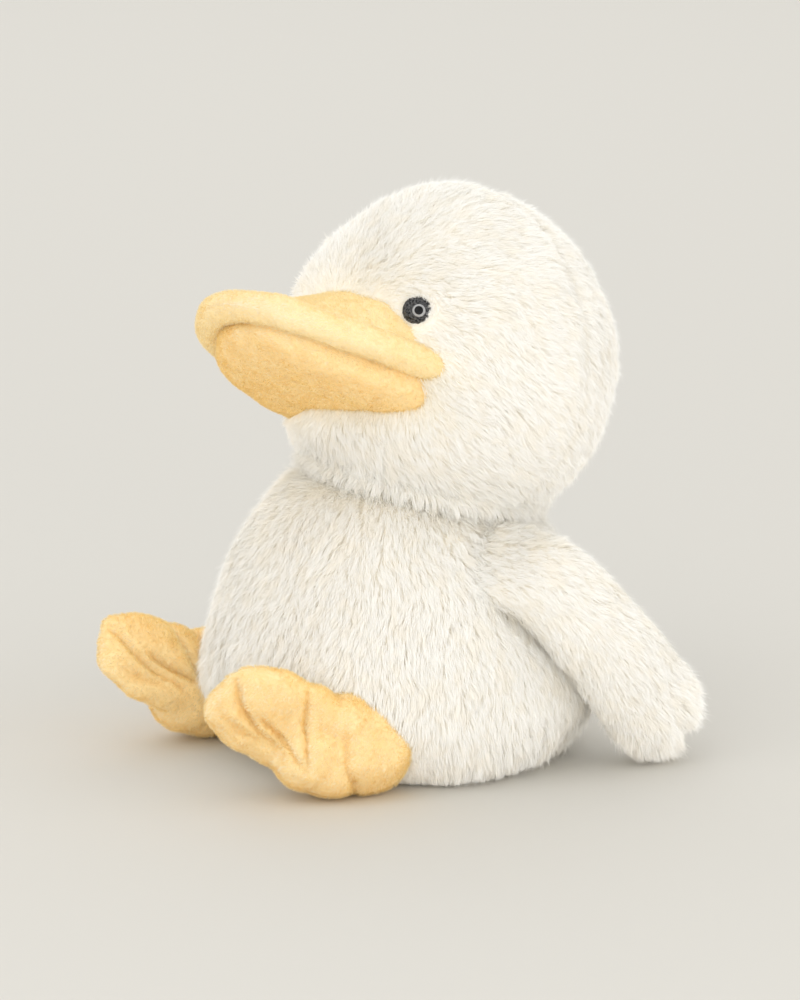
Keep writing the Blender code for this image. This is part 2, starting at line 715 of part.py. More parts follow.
def make_bill(model, pivot, head_seat):
    """The upper half with its rolled rim, and the deep lower half, both sewn to the face."""
    upper = model.stuffing("bill_upper_stuffing", upper_bill_rows(INSIDE), pivot)
    lower = model.stuffing("bill_lower_stuffing", lower_bill_rows(INSIDE + FILL_SLACK), pivot)
    upper_cover = model.cover("bill_upper_cover", upper_bill_rows(), pivot, PLUSH_YELLOW)
    lower_cover = model.cover("bill_lower_cover", lower_bill_rows(), pivot, PLUSH_YELLOW)
    for piece in (upper, upper_cover, lower, lower_cover):
        model.cut(piece, head_seat)
    model.cut(model.from_mesh("bill_rim", rim_form(), pivot, PLUSH_YELLOW), head_seat)


def rim_form():
    """The padded roll round the edge of the upper bill, as a welded mesh of a bevelled curve."""
    path = bpy.data.curves.new("rim_path", "CURVE")
    path.dimensions = "3D"
    path.bevel_depth = RIM_RADIUS
    path.bevel_resolution = 2
    path.use_fill_caps = True
    spline = path.splines.new("POLY")
    spline.points.add(RIM_POINTS)
    power = 2 / BILL_ROUNDNESS
    for point, share in zip(spline.points, steps(RIM_POINTS)):
        angle = blend(-math.pi / 2, math.pi / 2, share)
        across = (BILL_HALF_WIDTH - RIM_RADIUS) * powered(math.sin(angle), power)
        forward = BILL_WIDEST_AT + (BILL_TIP_SPAN - RIM_RADIUS) * powered(math.cos(angle), power)
        if share in (0, 1):
            forward = BILL_ROOT_AT
        point.co = (*bill_place(across, forward, rim_height(forward)), 1)
        point.radius = blend(1, RIM_TIP_SHARE, bill_share(forward))
    curve = bpy.data.objects.new("rim_path", path)
    bpy.context.scene.collection.objects.link(curve)
    drawn = curve.evaluated_get(bpy.context.evaluated_depsgraph_get())
    form = bmesh.new()
    form.from_mesh(bpy.data.meshes.new_from_object(drawn))
    bmesh.ops.remove_doubles(form, verts=form.verts, dist=WELD)
    bmesh.ops.recalc_face_normals(form, faces=form.faces)
    bpy.data.objects.remove(curve)
    return form


def make_wings(model, root):
    for name, side in SIDES.items():
        place = Vector((side * WING_ROOT.x, WING_ROOT.y, WING_ROOT.z))
        hinge = model.pivot(f"wing_hinge_{name}", Matrix.Translation(place), root)
        model.cover(f"wing_cover_{name}", mirrored(wing_rows(), side), hinge, PLUSH_WHITE)
        model.stuffing(f"wing_stuffing_{name}", mirrored(wing_rows(INSIDE + GAP), side), hinge)


def make_legs(model, root):
    """Each leg's ball-shaped stub and the foot that is sewn to it."""
    for name, side in SIDES.items():
        middle = Vector((side * HEEL.x, HEEL.y, HEEL.z))
        hip = model.pivot(f"hip_{name}", Matrix.Translation(middle), root)
        stub = mirrored(leg_rows(), side)
        model.cover(f"leg_cover_{name}", stub, hip, PLUSH_YELLOW)
        model.stuffing(f"leg_stuffing_{name}", stub, hip, INSIDE)
        seat = ball(middle, HEEL_RADIUS + BALL_GAP, HEEL_COLUMNS, HEEL_ROWS)
        heel_seat = model.cutter(f"heel_seat_{name}", seat)
        sole = mirrored(foot_rows(0, 0.5, FOOT_SEAM), side)
        top = mirrored(foot_rows(0.5, 1, FOOT_SEAM), side)
        model.cut(model.cover(f"foot_sole_{name}", sole, hip, PLUSH_YELLOW), heel_seat)
        model.cut(model.cover(f"foot_top_{name}", top, hip, PLUSH_YELLOW), heel_seat)
        filling = foot_rows(0, 0.5, inset=INSIDE) + foot_rows(0.5, 1, inset=INSIDE)[1:]
        model.cut(model.stuffing(f"foot_stuffing_{name}", mirrored(filling, side), hip), heel_seat)


def main():
    model = Model()
    root = model.pivot("body_root", Matrix.Identity(4))
    turn = model.pivot("neck_turn", NECK_FRAME, root)
    nod = model.pivot("head_nod", NECK_FRAME, turn)
    socket = make_body(model, root)
    model.from_mesh("neck_stuffing", ball(NECK, NECK_BALL_RADIUS), turn, FILL_WHITE)
    head_seat = make_head(model, nod, socket)
    make_bill(model, nod, head_seat)
    make_wings(model, root)
    make_legs(model, root)


main()
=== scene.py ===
import math

import bpy
import numpy as np
from mathutils import Matrix, Vector, kdtree, noise
from mathutils.bvhtree import BVHTree


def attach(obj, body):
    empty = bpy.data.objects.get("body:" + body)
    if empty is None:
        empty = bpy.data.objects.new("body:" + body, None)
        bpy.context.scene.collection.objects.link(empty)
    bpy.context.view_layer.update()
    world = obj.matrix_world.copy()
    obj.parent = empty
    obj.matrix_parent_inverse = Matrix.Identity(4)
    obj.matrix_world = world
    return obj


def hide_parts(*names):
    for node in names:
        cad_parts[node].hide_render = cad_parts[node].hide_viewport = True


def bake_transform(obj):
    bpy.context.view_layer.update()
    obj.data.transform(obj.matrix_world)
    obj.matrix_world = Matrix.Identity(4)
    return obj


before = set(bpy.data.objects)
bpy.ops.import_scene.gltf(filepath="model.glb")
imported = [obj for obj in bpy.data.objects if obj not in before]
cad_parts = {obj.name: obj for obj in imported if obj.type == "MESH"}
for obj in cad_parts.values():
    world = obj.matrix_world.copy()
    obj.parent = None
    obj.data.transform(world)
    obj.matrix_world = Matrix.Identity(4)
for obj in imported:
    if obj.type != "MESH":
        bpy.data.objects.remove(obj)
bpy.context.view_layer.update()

# Every size is in metres. +X is the duck's left and -Y is where it faces.
SIDES = {"left": 1, "right": -1}
FULL_TURN = 2 * math.pi
QUARTER_TURN = math.pi / 2
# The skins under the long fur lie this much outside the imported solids
SKIN_OUTSIDE = 0.0008
GAP = 0.0003
CLOSING_ROWS = 8

# Body
BASE_RADIUS = 0.050
BASE_ROWS = 10
BASE_STEP = 0.1
BODY_UNDERSIDE = 0.0017
BELLY_RADIUS = 0.076
BELLY_HEIGHT = 0.030
BELLY_ROWS = 24
BODY_SETBACK_POWER = 2.2
BODY_LEAN_POWER = 1.4
SHOULDER_SLOPE_POWER = 1.5
SHOULDER_ROUNDNESS = 0.6
SHOULDER_DISH = math.radians(1.5)
SHOULDER_ROWS = 48
BODY_POINTS = 128
# The skin draws in near the floor, most of all in front, where a foot lies
HOLLOW_HEIGHT = 0.034
HOLLOW_SHARE = 0.025
FRONT_HOLLOW_SHARE = 0.060
FRONT_HOLLOW_BEARING = 15
FRONT_HOLLOW_SPREAD = 50

# Neck: its filling is a ball, and a soft ring of plush closes the crease round it
NECK_RADIUS = 0.038
NECK_HEIGHT = 0.1045
NECK_SETBACK = 0.0086
NECK_TILT = math.radians(15)
NECK_BALL_RADIUS = 0.0262
NECK_RING_RADIUS = 0.0464
NECK_RING_HEIGHT = 0.0026
NECK_RING_HALF_THICKNESS = 0.0086
NECK_RING_ROUNDNESS = 0.45
NECK_ROWS = 48
NECK_POINTS = 96

# Head
HEAD_RADIUS = 0.0635
HEAD_RISE = 0.051
HEAD_UNDERCUT = math.radians(7.5)
HEAD_ROWS = 72
HEAD_POINTS = 144
CROWN_SWELL = 0.0045
CROWN_LEAN = math.radians(13)
CROWN_SPREAD = math.radians(36)
BROW_DENT = 0.0035
BROW_RISE = math.radians(38)
BROW_SPREAD = math.radians(22)
BACK_SEAM = math.radians(113)
BACK_SEAM_DEPTH = 0.0011
BACK_SEAM_WIDTH = 0.0035
FACE_ROLL = math.radians(15.2)
FACE_PITCH = math.radians(8.7)

# Eyes: the dome is the CAD's, and a pale ring, a painted highlight, and a pupil lie on it, behind and below
# its middle
EYE_RADIUS = 0.0058
EYE_DOME = 0.0031
EYE_BEARING = math.radians(41.6)
EYE_RISE = math.radians(4.8)
# How far each disc reaches and how high it lies over the dome, and where their middle is
EYE_DISC_ASIDE = 0.0008
EYE_DISC_SHIFT = (0.0014, -0.0014)
EYE_DISC_THICKNESS = 0.0003
EYE_DISC_ROWS = 8
EYE_DISC_POINTS = 48
# The ring is a painted highlight: a pale grey ring that stands in for a reflection on the glossy dome
EYE_DISC_SIZES = {"ring": (0.0025, 0.00006), "pupil": (0.0017, 0.00012)}

# Tail
TAIL_LENGTH = 0.0216
TAIL_RADIUS = 0.013
TAIL_HEIGHT = 0.040
TAIL_SUNK = 0.006
TAIL_RISE = math.radians(32)
TAIL_ROWS = 24
TAIL_POINTS = 48

# Bill: a mound and a pouch that share one outline, and a padded roll round its edge
BILL_REACH = 0.1085
BILL_HALF_WIDTH = 0.0559
BILL_WIDEST_AT = 0.037
BILL_ROOT_AT = 0.024
BILL_ROUNDNESS = 2.28
BILL_ROWS = 48
BILL_LAST_ROW_SHARE = 0.992
BILL_POINTS = 96
RIM_RADIUS = 0.0063
RIM_DEPTH = 0.0146
RIM_TIP_LIFT = 0.0104
RIM_TIP_LIFT_POWER = 3.6
RIM_TIP_SHARE = 0.92
RIM_TUCK = 0.075
RIM_TUCK_BEARINGS = (62, 90)
RIM_ROWS = 120
RIM_POINTS = 32
UPPER_BILL_UNDER_RIM = 0.002
UPPER_BILL_RISE = 0.0392
UPPER_BILL_TIP_RISE = 0.0045
UPPER_BILL_TIP_POWER = 6
UPPER_BILL_SECTION_POWER = 0.95
PALATE_DROP = 0.0052
LOWER_BILL_INSET = 0.0099
LOWER_BILL_DEPTH = 0.0152
LOWER_BILL_CROWN = 0.0004
LOWER_BILL_RISE = 0.0050
LOWER_BILL_TIP_RISE = 0.0125
LOWER_BILL_TIP_POWER = 1.25
LOWER_BILL_TOP_POWER = 5
LOWER_BILL_SECTION_POWER = 0.65

# Wings: a curved route from the shoulder, in shares of the length, and the width's direction
WING_LENGTH = 0.113
WING_ROOT = Vector((0.0586, 0.0068, 0.0929))
WING_ROOT_HALF_WIDTH = 0.0155
WING_HALF_WIDTH = 0.0166
WING_ROOT_HALF_THICKNESS = 0.0062
WING_HALF_THICKNESS = 0.0095
WING_ROUTE_SHARES = ((0, 0, 0), (0.24, 0.20, -0.10), (0.15, 0.472, -0.478), (0.11, 0.672, -0.722))
WING_SEAM_SHARES = (-0.46, 0.62, 0.62)
WING_TIP_SHARES = (0.05, 0.72, 0.69)
WING_TWIST_END_SHARE = 0.5
WING_END_SHARE = 0.80
# The root is thinner than the rest and sinks into the shoulder
WING_ROOT_SUNK = 0.0055
WING_SUNK_END_SHARE = 0.22
WING_ROOT_THINNING = 0.45
WING_FULLNESS = 0.0012
WING_ROOT_ROWS = 5
WING_ROOT_FIRST_ANGLE = math.radians(10)
WING_ROWS = 64
WING_POINTS = 64

# Legs and feet: the heel is a ball, and the paddle starts at its middle
HEEL_RADIUS = 0.0183
HEEL = Vector((0.052, -0.050, 0.0188))
HEEL_BACK_SHIFT = Vector((0.0010, 0.0040, 0.0))
HEEL_BACK_RADIUS = 0.0179
HEEL_ROWS = 32
HEEL_POINTS = 64
FOOT_LENGTH = 0.0655
FOOT_HEEL_HALF_WIDTH = 0.0200
FOOT_HALF_THICKNESS = 0.0088
FOOT_HEEL_HALF_THICKNESS = 0.0125
FOOT_HEEL_END_SHARE = 0.75
FOOT_CROWN_SHARE = 0.55
FOOT_CROWN_POWER = 0.9
FOOT_OUTLINE_POWER = 0.56
FOOT_INWARD = math.radians(5)
FOOT_ROLL = math.radians(30)
FOOT_ROWS = 48
FOOT_POINTS = 128
FOOT_UNDERSIDE = 0.0004
# Each foot's rise, half its width and how far its middle is to one side
FOOT_SHAPES = {"left": (math.radians(30), 0.0203, -0.0032), "right": (math.radians(25), 0.0180, -0.0004)}
# The thick part of the foot between its heel and its paddle, as balls
FOOT_SOLE_BALLS = (
    ((0.0512, -0.0610, 0.0170), 0.0162), ((0.0500, -0.0690, 0.0197), 0.0155),
    ((0.0565, -0.0565, 0.0323), 0.0105), ((0.0556, -0.0490, 0.0250), 0.0135),
)
FOOT_CELL = 0.0011
FOOT_SMOOTHING_ROUNDS = 10
# Creases sewn through the foot: depth, half width, and places along and across it from the heel
FOOT_CREASES = (
    (0.0034, 0.0019, ((0.0650, 0.0075), (0.0543, -0.0030), (0.0440, -0.0082), (0.0300, -0.0115))),
    (0.0030, 0.0018, ((0.0473, -0.0022), (0.0348, -0.0055), (0.0206, -0.0083))),
    (0.0032, 0.0018, ((0.0347, 0.0150), (0.0272, 0.0009), (0.0206, -0.0077))),
    (0.0020, 0.0022, ((0.0600, -0.0095), (0.0461, -0.0128), (0.0344, -0.0118))),
    (0.0018, 0.0020, ((0.0160, 0.0140), (0.0063, 0.0002), (-0.0024, -0.0065), (-0.0084, -0.0150))),
)
CREASE_FADE = (0.12, 0.76)
CREASE_FACING = (0.1, 0.6)
# Strands rooted deeper than this in a crease take the deeper roots colour all over, a painted shade in the
# crease
PAINTED_CREASE_SHADE_DEPTH = 0.0012

# Small swells of each skin: their depth, size and seed
RUFFLES = {
    "body": (0.0014, 0.030, 1), "head": (0.0012, 0.030, 2), "wing": (0.0010, 0.020, 5),
    "bill": (0.0009, 0.012, 8), "foot": (0.0014, 0.011, 9),
}

# Fur: strands to a square millimetre, and its lean away from upright in degrees
FUR_DENSITY = 5.6
NAP_DENSITY = 6.5
NECK_FUR_CROWDING = 1.3
FUR_LEAN = 69
# The spacing of tufts and wisps, how far wisps and tufts draw strands together, a strand's
# width, and the share of strays
LONG_PILE = {"tuft": 0.0032, "wisp": 0.0010, "pull": (0.20, 0.16), "width": 0.00017, "wild": 0.09}
SHORT_NAP = {"tuft": 0.0020, "wisp": 0.0008, "pull": (0.10, 0.04), "width": 0.00016, "wild": 0.2}
FUR_SEEDS = {
    "body": 11, "head": 12, "neck": 13, "tail": 14, "wing": 15,
    "bill_upper": 21, "bill_rim": 22, "bill_lower": 23, "foot": 31,
}
# How the flow of the fur sways: its angle, the size of a swing and its seed
SWAYS = {"head": (0.5, 0.022, 3), "body": (0.5, 0.024, 7), "wing": (0.45, 0.02, 11)}
# How much strands differ: by tuft, by wisp and one by one
TURN_SPREADS = (0.13, 0.12, 0.10)
LENGTH_SPREADS = (0.06, 0.06)
LENGTH_RANGE = (0.82, 1.06)
LEAN_SPREADS = (0.05, 0.07)
TWIST_SPREAD = 0.18
WIDTH_RANGE = (0.75, 1.25)
STRAY_LEAN_SHARE = 0.66
STRAY_PULL = 0.2
# A strand's lower half stands up more than its upper half, which bends over
LOWER_BEND = 0.72
UPPER_BEND = 1.22
MIDDLE_PULL_SHARE = 0.35
TIP_GATHERING = 0.5
MIDDLE_GATHERING = 0.3
MIDDLE_WIDTH_SHARE = 0.85
LOWEST_FUR = 0.0007
TINTED_TUFTS = 0.25
TINTED_STRANDS = 0.10
STRAND_FACES = np.array([(0, 1, 3), (0, 3, 2), (2, 3, 4)])
MOST_STRANDS = 65000

# Head fur: it flows away from the face and downwards, more so behind
HEAD_FUR_LENGTH = 0.0070
FACE_MIDDLE_UP = -0.004
HEAD_FLOW_DROP = 0.35
HEAD_FLOW_DROP_BEHIND = 0.5
HEAD_BEHIND = (0.0, 0.05)
# Beside the bill it stands up, and on the brow over the bill it is shorter and lies flat
BILL_FUR_REACH = 0.010
BILL_FUR_OVERLAP = 0.0010
BESIDE_BILL = (0.0005, 0.0070)
BESIDE_BILL_SHORTER = 0.12
BESIDE_BILL_LEAN = -40
BROW_DEPTH = 0.012
BROW_SHORTER = 0.45
BROW_LEAN = 34
# Beside the eyes it is short and turns in over their edge
EYE_FUR_OVERLAP = 0.0006
EYE_FUR_REACH = 0.004
EYE_FUR_SHORTER = 0.52
EYE_FUR_LEAN = -12
EYE_FUR_INWARD = 1.9
# Under the head it is longer and hangs into the crease
UNDER_HEAD = (0.016, 0.006)
UNDER_HEAD_LONGER = 0.0034
UNDER_HEAD_LEAN = -8

# Body fur: near the floor it is longer behind, shorter in front and parted at the side seam
BODY_FUR_LENGTH = 0.0078
LEG_FUR_REACH = 0.006
LEG_FUR_OVERLAP = 0.0004
BODY_FUR_FLOOR = 0.0012
BODY_FLOW_OUTWARD = 3
HEM_HEIGHTS = (0.034, 0.006)
HEM_BEHIND = (55, 85)
HEM_LONGER_BEHIND = 0.0024
HEM_SHORTER_IN_FRONT = 0.0040
HEM_LEAN = 5
SIDE_SEAM_BEARING = 122
SIDE_SEAM_SPREAD = 4
SIDE_SEAM_SHORTER = 0.0045
COLLAR_HEIGHTS = (-0.014, -0.002)
COLLAR_LONGER = 0.0015
COLLAR_LEAN = -16

# Wing fur: long at the tip, where it parts into two lobes
WING_FUR_LENGTH = 0.0074
WING_TIP_SHARES_OF_FUR = (0.72, 1.0)
WING_TIP_LONGER = 0.0066
WING_PARTING = 0.15
WING_PARTING_SPREAD = 0.22
WING_PARTING_SHORTER = 0.0072
WING_TIP_LEAN = -12
WING_FANNING = 0.5
WING_FLOW_DROP = 0.15
WING_STATIONS = 40

NECK_FUR_LENGTH = 0.0088
NECK_FUR_LEAN = 66
NECK_FUR_FROM = 0.034
TAIL_FUR_LENGTH = 0.0085
TAIL_FUR_LEAN = 62
TAIL_FLOW_DROP = 0.5
BILL_NAP_LENGTH = 0.0015
BILL_NAP_LEAN = 48
BILL_NAP_FLOW = (0, -1, -0.2)
BILL_NAP_OVERLAP = 0.0002
FOOT_NAP_LENGTH = 0.0018
FOOT_NAP_LEAN = 44
FOOT_NAP_FLOW = (0, -1, -0.3)

# The photograph's camera: a long lens, turned 60 degrees and 14.5 degrees up
CAMERA_TURN = math.radians(60)
CAMERA_RISE = math.radians(14.5)
CAMERA_LENS = 400
CAMERA_SENSOR = 36
CAMERA_DISTANCE_PER_LENS = 0.01096
CAMERA_DISTANCE = CAMERA_DISTANCE_PER_LENS * CAMERA_LENS + 0.030
CAMERA_TARGET_RISE = 0.0974
LAMP_TARGET = Vector((0, 0, 0.09))
FLOOR_REACH = 20
LIGHT_BOUNCES = 10

NECK_FRAME = Matrix.Translation((0, NECK_SETBACK, NECK_HEIGHT)) @ Matrix.Rotation(-NECK_TILT, 4, "X")
FACE_TURN = Matrix.Rotation(-FACE_PITCH, 3, "X") @ Matrix.Rotation(-FACE_ROLL, 3, "Y")
HEAD_MIDDLE = Vector((0, 0, HEAD_RISE))


def blend(start, end, share):
    return start + (end - start) * share


def powered(value, power):
    return math.copysign(abs(value) ** power, value)


def smooth(value, low, high):
    """From 0 at low to 1 at high, along a smooth curve."""
    share = np.clip((value - low) / (high - low), 0, 1)
    return share * share * (3 - 2 * share)


def bell(value, middle, spread):
    """1 at the middle, falling off smoothly on both sides."""
    return np.exp(-(((value - middle) / spread) ** 2))


def unit(vectors):
    return vectors / np.maximum(np.linalg.norm(vectors, axis=-1, keepdims=True), 1e-12)


def turns_round(count):
    return [FULL_TURN * j / count for j in range(count)]


def direction_at(turn, rise):
    """The direction towards what stands at this turn from the front and this rise."""
    return Vector((math.sin(turn) * math.cos(rise), -math.cos(turn) * math.cos(rise), math.sin(rise)))


def bearings_of(points):
    """How far round from the front each point is, in degrees, to the left."""
    return np.degrees(np.arctan2(points[:, 0], -points[:, 1]))


# Camera, light and floor
def place_looking(thing, place, back):
    bpy.context.scene.collection.objects.link(thing)
    thing.location = place
    thing.rotation_mode = "QUATERNION"
    thing.rotation_quaternion = back.to_track_quat("Z", "Y")


def make_camera():
    turn, rise = CAMERA_TURN, CAMERA_RISE
    back = direction_at(turn, rise)
    up = Vector((-math.sin(turn) * math.sin(rise), math.cos(turn) * math.sin(rise), math.cos(rise)))
    data = bpy.data.cameras.new("camera")
    data.lens = CAMERA_LENS
    data.sensor_width = CAMERA_SENSOR
    data.clip_end = 100
    camera = bpy.data.objects.new("camera", data)
    place_looking(camera, up * CAMERA_TARGET_RISE + back * CAMERA_DISTANCE, back)
    bpy.context.scene.camera = camera


def add_lamp(name, turn, rise, distance, size, power, colour):
    """A square soft lamp aimed at the middle of the duck, its turn and rise in degrees."""
    back = direction_at(math.radians(turn), math.radians(rise))
    data = bpy.data.lights.new(name, "AREA")
    data.size = size
    data.energy = power
    data.color = colour
    place_looking(bpy.data.objects.new(name, data), LAMP_TARGET + back * distance, back)


def make_world(strength, colour, shown):
    """An even light from all round, and the colour that the camera sees behind the floor."""
    world = bpy.data.worlds.new("studio")
    bpy.context.scene.world = world
    world.use_nodes = True
    tree = world.node_tree
    tree.nodes.clear()
    out = tree.nodes.new("ShaderNodeOutputWorld")
    mix = tree.nodes.new("ShaderNodeMixShader")
    path = tree.nodes.new("ShaderNodeLightPath")
    light = tree.nodes.new("ShaderNodeBackground")
    light.inputs["Color"].default_value = (*colour, 1)
    light.inputs["Strength"].default_value = strength
    seen = tree.nodes.new("ShaderNodeBackground")
    seen.inputs["Color"].default_value = (*shown, 1)
    tree.links.new(path.outputs["Is Camera Ray"], mix.inputs["Fac"])
    tree.links.new(light.outputs[0], mix.inputs[1])
    tree.links.new(seen.outputs[0], mix.inputs[2])
    tree.links.new(mix.outputs[0], out.inputs["Surface"])


def make_floor(colour, shown):
    """A plain floor that gives back light of one colour and is seen in a slightly darker one."""
    mesh = bpy.data.meshes.new("floor")
    corners = [(x * FLOOR_REACH, y * FLOOR_REACH, 0) for x, y in ((-1, -1), (1, -1), (1, 1), (-1, 1))]
    mesh.from_pydata(corners, [], [(0, 1, 2, 3)])
    floor = bpy.data.objects.new("floor", mesh)
    bpy.context.scene.collection.objects.link(floor)
    material = plain_material("floor", colour)
    tree = material.node_tree
    path = tree.nodes.new("ShaderNodeLightPath")
    mix = tree.nodes.new("ShaderNodeMix")
    mix.data_type = "RGBA"
    for socket, value in ((mix.inputs[6], colour), (mix.inputs[7], shown)):
        socket.default_value = (*value, 1)
    tree.links.new(path.outputs["Is Camera Ray"], mix.inputs[0])
    tree.links.new(mix.outputs[2], tree.nodes["Principled BSDF"].inputs["Base Color"])
    mesh.materials.append(material)


# Materials
def plain_material(name, colour, roughness=0.9):
    material = bpy.data.materials.new(name)
    material.use_nodes = True
    shader = material.node_tree.nodes["Principled BSDF"]
    shader.inputs["Base Color"].default_value = (*colour, 1)
    shader.inputs["Roughness"].default_value = roughness
    return material


def cloth_material(name, light, dark, size, bump, roughness):
    """Cloth or plastic with soft mottling of this size and a finer grain."""
    material = plain_material(name, light, roughness)
    tree = material.node_tree
    shader = tree.nodes["Principled BSDF"]
    place = tree.nodes.new("ShaderNodeTexCoord")
    broad = tree.nodes.new("ShaderNodeTexNoise")
    broad.inputs["Scale"].default_value = 1 / size
    broad.inputs["Detail"].default_value = 3
    fine = tree.nodes.new("ShaderNodeTexNoise")
    fine.inputs["Scale"].default_value = 14 / size
    fine.inputs["Detail"].default_value = 2
    ramp = tree.nodes.new("ShaderNodeValToRGB")
    for stop, position, colour in zip(ramp.color_ramp.elements, (0.34, 0.62), (dark, light)):
        stop.position = position
        stop.color = (*colour, 1)
    raised = tree.nodes.new("ShaderNodeBump")
    raised.inputs["Strength"].default_value = bump
    raised.inputs["Distance"].default_value = 0.0004
    tree.links.new(place.outputs["Object"], broad.inputs["Vector"])
    tree.links.new(place.outputs["Object"], fine.inputs["Vector"])
    tree.links.new(broad.outputs["Fac"], ramp.inputs["Fac"])
    tree.links.new(ramp.outputs["Color"], shader.inputs["Base Color"])
    tree.links.new(fine.outputs["Fac"], raised.inputs["Height"])
    tree.links.new(raised.outputs["Normal"], shader.inputs["Normal"])
    return material


# Meshes
class Skin:
    """A closed mesh on loops of points, with its corner normals, that fur can grow on."""

    def __init__(self, rows, poles=(None, None)):
        rows = [np.array(row, float).reshape(-1, 3) for row in rows]
        n = len(rows[0])
        points = np.concatenate(rows)
        first = points[:n].mean(axis=0) if poles[0] is None else np.array(poles[0])
        last = points[-n:].mean(axis=0) if poles[1] is None else np.array(poles[1])
        points = np.concatenate([points, first[None], last[None]])
        i = np.arange(n)
        j = (i + 1) % n
        faces = []
        for r in range(len(rows) - 1):
            a, b = r * n + i, r * n + j
            c, d = a + n, b + n
            faces.append(np.stack([a, b, d], 1))
            faces.append(np.stack([a, d, c], 1))
        top, end = len(points) - 2, (len(rows) - 1) * n
        faces.append(np.stack([np.full(n, top), j, i], 1))
        faces.append(np.stack([np.full(n, top + 1), end + i, end + j], 1))
        self.points = points
        self.tris = np.concatenate(faces)
        corner = points[self.tris]
        volume = np.einsum("ij,ij->i", corner[:, 0], np.cross(corner[:, 1], corner[:, 2])).sum()
        if volume < 0:
            self.tris = self.tris[:, ::-1]
        self.update()

    @classmethod
    def of(cls, points, tris):
        skin = cls.__new__(cls)
        skin.points = points
        skin.tris = tris
        skin.update()
        return skin

    def update(self):
        corner = self.points[self.tris]
        across = np.cross(corner[:, 1] - corner[:, 0], corner[:, 2] - corner[:, 0])
        normals = np.zeros_like(self.points)
        for k in range(3):
            np.add.at(normals, self.tris[:, k], across)
        self.normals = unit(normals)
        self.areas = np.linalg.norm(across, axis=1) / 2

    def mirrored(self, side):
        if side < 0:
            self.points[:, 0] *= -1
            self.tris = self.tris[:, ::-1].copy()
            self.update()
        return self

    def ruffled(self, depth, size, seed):
        """Small smooth swells along the normals."""
        shift = [noise.noise(Vector(p) / size + Vector((seed, 0, 0))) for p in self.points]
        self.points += self.normals * (np.array(shift) * depth)[:, None]
        self.update()
        return self


def mesh_object(name, points, tris, materials, which=None):
    mesh = bpy.data.meshes.new(name)
    mesh.vertices.add(len(points))
    mesh.vertices.foreach_set("co", np.ascontiguousarray(points, np.float32).ravel())
    mesh.loops.add(3 * len(tris))
    mesh.loops.foreach_set("vertex_index", np.ascontiguousarray(tris, np.int32).ravel())
    mesh.polygons.add(len(tris))
    mesh.polygons.foreach_set("loop_start", np.arange(0, 3 * len(tris), 3, dtype=np.int32))
    mesh.polygons.foreach_set("use_smooth", np.ones(len(tris), bool))
    for material in materials:
        mesh.materials.append(material)
    if which is not None:
        mesh.polygons.foreach_set("material_index", np.ascontiguousarray(which, np.int32))
    mesh.update(calc_edges=True)
    piece = bpy.data.objects.new(name, mesh)
    bpy.context.scene.collection.objects.link(piece)
    return piece


def melted(skins, size, rounds):
    """One smooth skin round several that overlap."""
    points = np.concatenate([skin.points for skin in skins])
    starts = np.cumsum([0] + [len(skin.points) for skin in skins[:-1]])
    tris = np.concatenate([skin.tris + start for skin, start in zip(skins, starts)])
    piece = mesh_object("melted", points, tris, [])
    remesh = piece.modifiers.new("remesh", "REMESH")
    remesh.mode = "VOXEL"
    remesh.voxel_size = size
    soften = piece.modifiers.new("soften", "SMOOTH")
    soften.factor = 0.5
    soften.iterations = rounds
    whole = piece.evaluated_get(bpy.context.evaluated_depsgraph_get()).to_mesh()
    whole.calc_loop_triangles()
    places = np.empty(3 * len(whole.vertices), np.float32)
    whole.vertices.foreach_get("co", places)
    corners = np.empty(3 * len(whole.loop_triangles), np.int32)
    whole.loop_triangles.foreach_get("vertices", corners)
    mesh = piece.data
    bpy.data.objects.remove(piece)
    bpy.data.meshes.remove(mesh)
    return Skin.of(places.reshape(-1, 3).astype(float), corners.reshape(-1, 3))


def follow(piece, body):
    """A wing, sewn to the shoulder, is not attached to a body and keeps its placement baked into its mesh.
    The rest is attached to its body and moves as one with it.
    """
    if not body.startswith("wing_"):
        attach(piece, body)
        return
    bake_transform(piece)


def padded_piece(name, skin, material, body, nodes):
    piece = mesh_object(name, skin.points, skin.tris, [material])
    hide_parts(*nodes)
    follow(piece, body)


# Fur
def nearest(points, centres):
    tree = kdtree.KDTree(len(centres))
    for i, centre in enumerate(centres):
        tree.insert(centre, i)
    tree.balance()
    return np.array([tree.find(p)[1] for p in points])


def distances(skin, points, reach):
    """How far each point is outside the skin, negative inside, and no more than reach."""
    tree = BVHTree.FromPolygons([tuple(p) for p in skin.points], [tuple(t) for t in skin.tris.tolist()])
    low, high = skin.points.min(0) - reach, skin.points.max(0) + reach
    out = np.full(len(points), reach)
    for k in np.nonzero(((points > low) & (points < high)).all(1))[0]:
        place, normal, _, far = tree.find_nearest(points[k])
        sign = -1 if (Vector(points[k]) - place).dot(normal) < 0 else 1
        out[k] = min(reach, sign * far)
    return out


def swayed(points, flow, normals, amount, size, seed):
    """The flow turned about the normals by smooth noise."""
    angles = np.array([noise.noise(Vector(p) / size + Vector((0, seed, 0))) for p in points]) * amount
    side = np.cross(normals, flow)
    return flow * np.cos(angles)[:, None] + side * np.sin(angles)[:, None]


